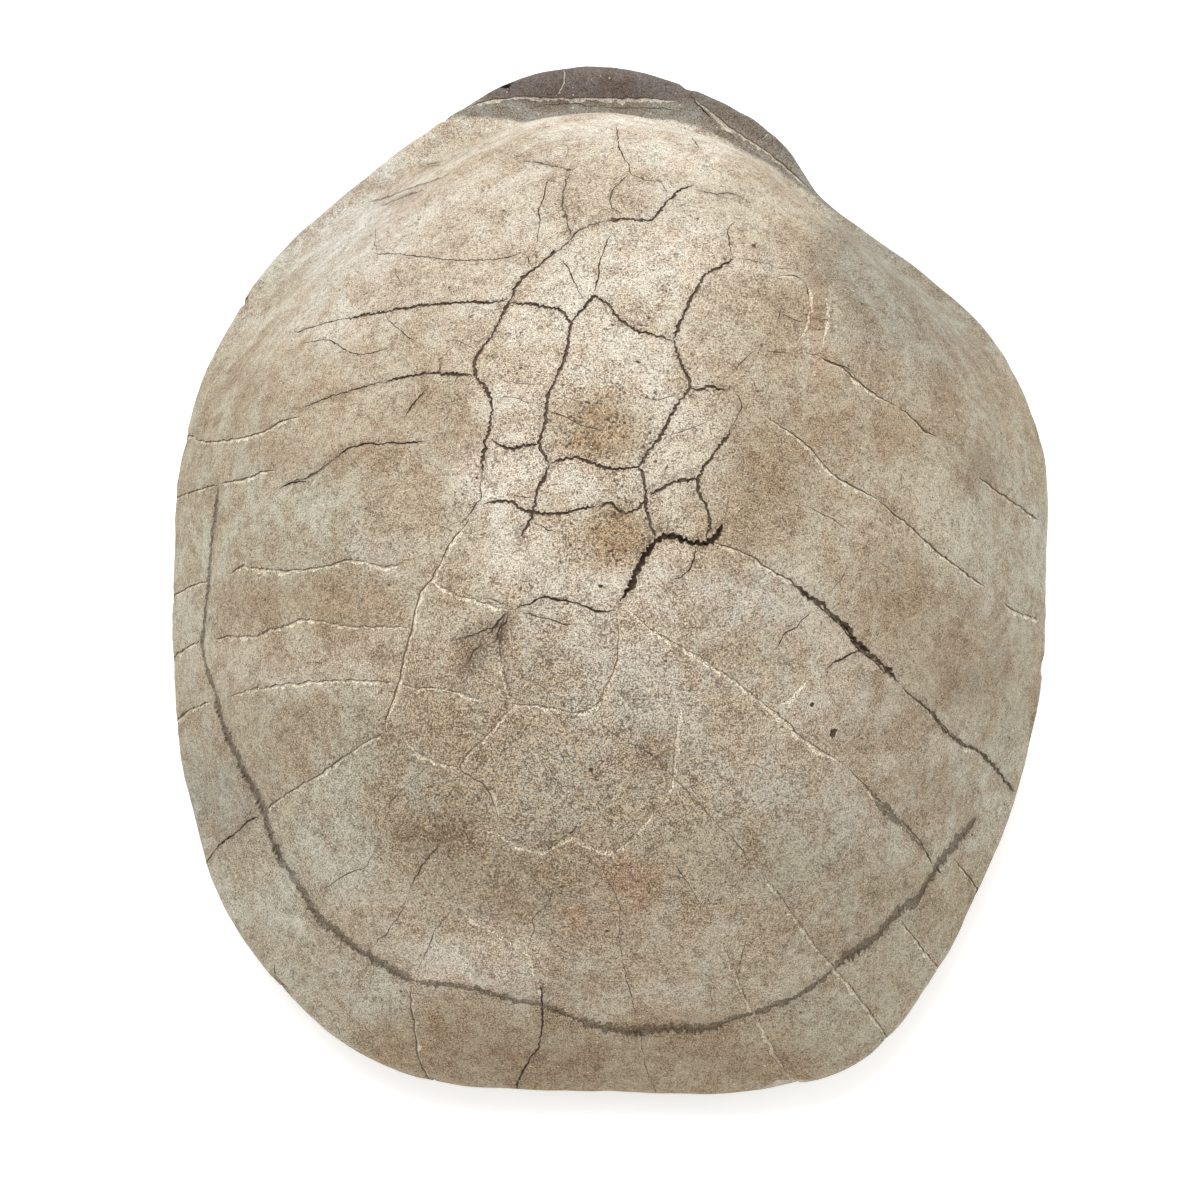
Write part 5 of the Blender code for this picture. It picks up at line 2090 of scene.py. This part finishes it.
        wrinkle = self.wrinkles(sheet, place, crisp)
        # Creases darken the colour: painted shade, as they have no relief.
        bright = sheet.times(bright, sheet.spread(wrinkle, self.wrinkle_light))
        # Pale colour mixed in on lips: painted highlight.
        colour = sheet.mix(self.highlight_share, colour, self.highlight_colour)
        cast = sheet.mix(sheet.spread(bright, self.brightness), self.shaded, self.lit)
        colour = sheet.scale(sheet.mix(1.0, colour, cast, "MULTIPLY"), self.light)
        colour = sheet.mix(self.veins(sheet, place, crisp), colour, self.vein_colour)
        colour = sheet.mix(self.specks(sheet, place, cloud, pitting), colour, self.speck_colour)
        colour = sheet.mix(self.grains(sheet, place, ochre), colour, self.grain_colour)
        # Pale flecks: painted highlights of the fine relief.
        flecks = sheet.dots(place, self.flecks, sheet.spread(crisp, self.fleck_share))
        colour = sheet.mix(flecks, colour, self.fleck_colour)
        soil = sheet.times(sheet.attribute("soil"), sheet.spread(grit, self.dirt_breaks))
        colour = sheet.mix(soil, colour, self.dirt)
        sheet.plug(sheet.shader.inputs["Base Color"], colour)
        sheet.plug(sheet.shader.inputs["Roughness"], sheet.spread(cloud, self.roughness))
        sheet.shader.inputs["Specular IOR Level"].default_value = self.specular
        height = sheet.times(grit, sheet.spread(crisp, self.grit_height))
        height = sheet.plus(height, sheet.times(crumbs, self.crumbs_height))
        height = sheet.plus(height, sheet.times(patchy, self.patchy_height))
        sheet.bump(height, self.relief)
        return sheet.material

    def wrinkles(self, sheet: NodeSheet, place: Plug, crisp: Plug) -> bpy.types.NodeSocket:
        """Crumbly creases, 0 to 1, gathered in places, whose darkening of the colour is painted shade.

        Args:
            sheet: The material's nodes.
            place: Place on the surface.
            crisp: How crisp the ground is.

        Returns:
            1 in a crease and 0 beside it.
        """
        crease = sheet.near_middle(sheet.noise(place, self.wrinkle_noise), self.wrinkle_width)
        crowd = sheet.spread(sheet.noise(place, self.wrinkle_crowd_noise), self.wrinkle_crowd)
        return sheet.times(sheet.times(crease, crowd), sheet.spread(crisp, self.wrinkle_on_crisp))

    def veins(self, sheet: NodeSheet, place: Plug, crisp: Plug) -> bpy.types.NodeSocket:
        """Fine winding dark lines, 0 to 1, broken and gathered in places.

        Args:
            sheet: The material's nodes.
            place: Place on the surface.
            crisp: How crisp the ground is.

        Returns:
            1 in a line and 0 beside it.
        """
        line = sheet.near_middle(sheet.noise(place, self.vein_noise), self.vein_width)
        gaps = sheet.spread(sheet.noise(place, self.vein_gap_noise), self.vein_gaps)
        return sheet.times(sheet.times(line, gaps), sheet.spread(crisp, self.vein_on_crisp))

    def specks(self, sheet: NodeSheet, place: Plug, cloud: Plug, pitting: Plug) -> bpy.types.NodeSocket:
        """Dark specks and pits, 0 to 1, denser where the pitting attribute says.

        Args:
            sheet: The material's nodes.
            place: Place on the surface.
            cloud: Noise that gathers them.
            pitting: The pitting attribute.

        Returns:
            Strength of the specks.
        """
        crowd = sheet.noise(place, self.speck_noise)
        crowd = sheet.plus(crowd, sheet.times(cloud, self.speck_of_cloud))
        crowd = sheet.plus(crowd, sheet.times(pitting, self.speck_of_pitting))
        fine = sheet.dots(place, self.fine_specks, sheet.spread(crowd, self.fine_share))
        large = sheet.dots(place, self.large_specks, sheet.spread(crowd, self.large_share))
        return sheet.maths("MAXIMUM", fine, large)

    def grains(self, sheet: NodeSheet, place: Plug, ochre: Plug) -> bpy.types.NodeSocket:
        """Scattered ochre grains, 0 to 1, where the ochre attribute says.

        Args:
            sheet: The material's nodes.
            place: Place on the surface.
            ochre: The ochre attribute.

        Returns:
            Strength of the grains.
        """
        crowd = sheet.spread(sheet.noise(place, self.grain_noise), self.grain_crowd)
        share = sheet.times(sheet.spread(ochre, self.grain_on_ochre), crowd)
        return sheet.dots(place, self.grain_dots, share)


@dataclass(frozen=True)
class WallFinish:
    """Walls of cracks, grooves and breaks: one earth colour, grainy."""

    colour: Colour
    shade: Colour
    cloud: Clouds = Clouds(700, 6, 0.75)
    cloud_shade: Span = Span(0.40, 0.60)
    fine: Clouds = Clouds(2000, 3, 0.6)
    roughness: float = 0.95
    specular: float = 0.2
    relief: float = 0.0002

    def build(self, name: str) -> bpy.types.Material:
        """Make the material.

        Args:
            name: The material's name.

        Returns:
            The material.
        """
        sheet = NodeSheet(name)
        place = sheet.place()
        cloud = sheet.noise(place, self.cloud)
        colour = sheet.mix(sheet.spread(cloud, self.cloud_shade), self.colour, self.shade)
        sheet.plug(sheet.shader.inputs["Base Color"], colour)
        sheet.shader.inputs["Roughness"].default_value = self.roughness
        sheet.shader.inputs["Specular IOR Level"].default_value = self.specular
        sheet.bump(sheet.noise(place, self.fine), self.relief)
        return sheet.material


SHELL_FINISHES: dict[WallSlot, BoneFinish | WallFinish] = {
    WallSlot.BONE: BoneFinish(),
    WallSlot.EARTH: WallFinish((0.185, 0.135, 0.095), (0.080, 0.056, 0.038)),
    WallSlot.SOIL: WallFinish((0.25, 0.20, 0.145), (0.115, 0.085, 0.059)),
    # Bone brightened and paled on lips and the crest edge: painted highlight.
    WallSlot.HIGHLIT_LIP: BoneFinish(light=1.42, highlight_share=0.30),
    WallSlot.BREAK: WallFinish((0.64, 0.58, 0.49), (0.44, 0.37, 0.28)),
    WallSlot.SILT: BoneFinish(light=0.60),
}


@dataclass
class FossilShell:
    """The shell with everything cut into it, ready to stand for the solid.

    Attributes:
        form: The plain form.
        camera: Where the photograph was taken from.
        sharp_edge: Angle above which an edge is drawn sharp.
        lines: The cracks and seams by name.
    """

    form: ShellForm
    camera: PhotoCamera
    sharp_edge: float = math.radians(38)
    lines: dict[str, CrackLine] = field(default_factory=dict)

    def build(self) -> bpy.types.Object:
        """Make the finished piece.

        Returns:
            The piece, linked to the scene.
        """
        for slot, finish in SHELL_FINISHES.items():
            finish.build(f"shell_{slot.name.lower()}")
        mesh = self.form.build()
        self.throw_lines(BVHTree.FromBMesh(mesh))
        self.sink_valleys(mesh)
        tree = BVHTree.FromBMesh(mesh)
        self.throw_lines(tree)
        log.info("form: %d faces, %d lines", len(mesh.faces), len(self.lines))
        shell = self.make_object(mesh)
        self.cut(shell, self.make_cutter(tree))
        GroundColour(self.camera, self.form).paint(shell, list(self.lines.values()))
        shell.data.shade_smooth()
        shell.data.set_sharp_from_angle(angle=self.sharp_edge)
        return shell

    def throw_lines(self, tree: BVHTree) -> None:
        """Throw the routes onto the surface and lay the belly's seams.

        Args:
            tree: The shell's surface.
        """
        for name, route in ROUTES.items():
            self.lines[name] = CrackLine.throw(route, tree, self.camera)
        for name, seam in BELLY_SEAMS.items():
            self.lines[name] = CrackLine.lay(Route(CrackKind.BELLY, seam), tree)

    def sink_valleys(self, mesh: bmesh.types.BMesh) -> None:
        """Lower the surface softly along seams and grooves.

        Args:
            mesh: The form.
        """
        sink = np.zeros(len(mesh.verts))
        for kind, shape in CRACK_SHAPES.items():
            stations = places_of(self.lines.values(), kind)
            if shape.valley == 0 or not stations:
                continue
            away = distances([vertex.co for vertex in mesh.verts], stations)
            sink = np.maximum(sink, shape.valley * np.exp(-((away / shape.valley_reach) ** 2)))
        for vertex, depth in zip(mesh.verts, sink):
            vertex.co -= vertex.normal * depth
        mesh.normal_update()

    def make_object(self, mesh: bmesh.types.BMesh) -> bpy.types.Object:
        """Turn the form into an object with its material slots.

        Args:
            mesh: The form, which is freed.

        Returns:
            The object, linked to the scene.
        """
        data = bpy.data.meshes.new("fossil_shell_surface")
        mesh.to_mesh(data)
        mesh.free()
        for slot in WallSlot:
            data.materials.append(bpy.data.materials[f"shell_{slot.name.lower()}"])
        shell = bpy.data.objects.new("fossil_shell_surface", data)
        link(shell)
        return shell

    def make_cutter(self, tree: BVHTree) -> bpy.types.Object:
        """Everything that is cut out, as one object.

        Args:
            tree: The shell's surface.

        Returns:
            The object.
        """
        cutter = CrackCutter(tree, self.camera)
        for name, line in self.lines.items():
            cutter.add_line(name, line)
        for name, pit in PITS.items():
            cutter.add_pit(name, pit)
        for name, chip in CHIPS.items():
            cutter.add_chip(name, chip)
        log.info("cutter: %d faces", len(cutter.mesh.faces))
        return cutter.build()

    @staticmethod
    def cut(shell: bpy.types.Object, cutter: bpy.types.Object) -> None:
        """Take the cutter out of the shell for good.

        Args:
            shell: The shell, whose mesh is replaced.
            cutter: The cutter, which is deleted.
        """
        boolean = shell.modifiers.new("cracks", "BOOLEAN")
        boolean.operation = "DIFFERENCE"
        boolean.solver = "EXACT"
        boolean.use_self = True
        boolean.object = cutter
        graph = bpy.context.evaluated_depsgraph_get()
        cut_mesh = bpy.data.meshes.new_from_object(shell.evaluated_get(graph))
        shell.modifiers.clear()
        plain = shell.data
        shell.data = cut_mesh
        bpy.data.meshes.remove(plain)
        bpy.data.objects.remove(cutter)


@dataclass
class Studio:
    """Plain pale floor and soft light from beyond the head end.

    Attributes:
        target: Point that the light faces.
        floor_size: Width and length of the floor.
        floor_colour: Its colour.
        floor_roughness: Its roughness.
        floor_glow: Its own light, which keeps it pale.
        sky: Strength of the even white surround.
        key_place: Place of the large light.
        key_size: Its width and height.
        key_power: Its power in watts.
    """

    target: Vector
    floor_size: float = 8
    floor_colour: Colour = (0.93, 0.93, 0.93)
    floor_roughness: float = 0.9
    floor_glow: float = 0.38
    sky: float = 0.82
    key_place: Vector = field(default_factory=lambda: Vector((-0.28, 0.90, 1.80)))
    key_size: float = 1.5
    key_power: float = 29

    def build(self) -> None:
        """Make the floor, the light and the sky."""
        self.build_floor()
        self.build_key()
        self.build_sky()

    def build_floor(self) -> None:
        """Make the floor."""
        mesh = bmesh.new()
        bmesh.ops.create_grid(mesh, x_segments=1, y_segments=1, size=self.floor_size / 2)
        data = bpy.data.meshes.new("floor")
        mesh.to_mesh(data)
        mesh.free()
        sheet = NodeSheet("floor_paper")
        sheet.shader.inputs["Base Color"].default_value = (*self.floor_colour, 1)
        sheet.shader.inputs["Roughness"].default_value = self.floor_roughness
        sheet.shader.inputs["Specular IOR Level"].default_value = 0
        sheet.shader.inputs["Emission Color"].default_value = (1, 1, 1, 1)
        sheet.shader.inputs["Emission Strength"].default_value = self.floor_glow
        data.materials.append(sheet.material)
        floor = bpy.data.objects.new("floor", data)
        link(floor)

    def build_key(self) -> None:
        """Make the large soft light."""
        data = bpy.data.lights.new("key_light", "AREA")
        data.shape = "SQUARE"
        data.size = self.key_size
        data.energy = self.key_power
        light = bpy.data.objects.new("key_light", data)
        light.location = self.key_place
        light.rotation_euler = (self.target - self.key_place).to_track_quat("-Z", "Y").to_euler()
        link(light)

    def build_sky(self) -> None:
        """Make the even white surround."""
        world = bpy.data.worlds.new("surround")
        world.use_nodes = True
        world.node_tree.nodes["Background"].inputs["Color"].default_value = (1, 1, 1, 1)
        world.node_tree.nodes["Background"].inputs["Strength"].default_value = self.sky
        bpy.context.scene.world = world
        bpy.context.scene.view_settings.view_transform = "Standard"


def main() -> None:
    """Build the shell, the camera and the studio."""
    logging.basicConfig(level=logging.INFO, format="%(name)s: %(message)s")
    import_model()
    low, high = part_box(NODE)
    middle = Vector(((low.x + high.x) / 2, (low.y + high.y) / 2, low.z))
    camera = PhotoCamera()
    camera.build()
    form = ShellForm(high - low, middle)
    shell = FossilShell(form, camera).build()
    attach(shell, "root")
    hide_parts(NODE)
    log.info("fossil shell: %d points, %d faces", len(shell.data.vertices), len(shell.data.polygons))
    Studio(camera.target).build()
    log.info("studio: floor, key light and surround")


if __name__ == "__main__":
    main()
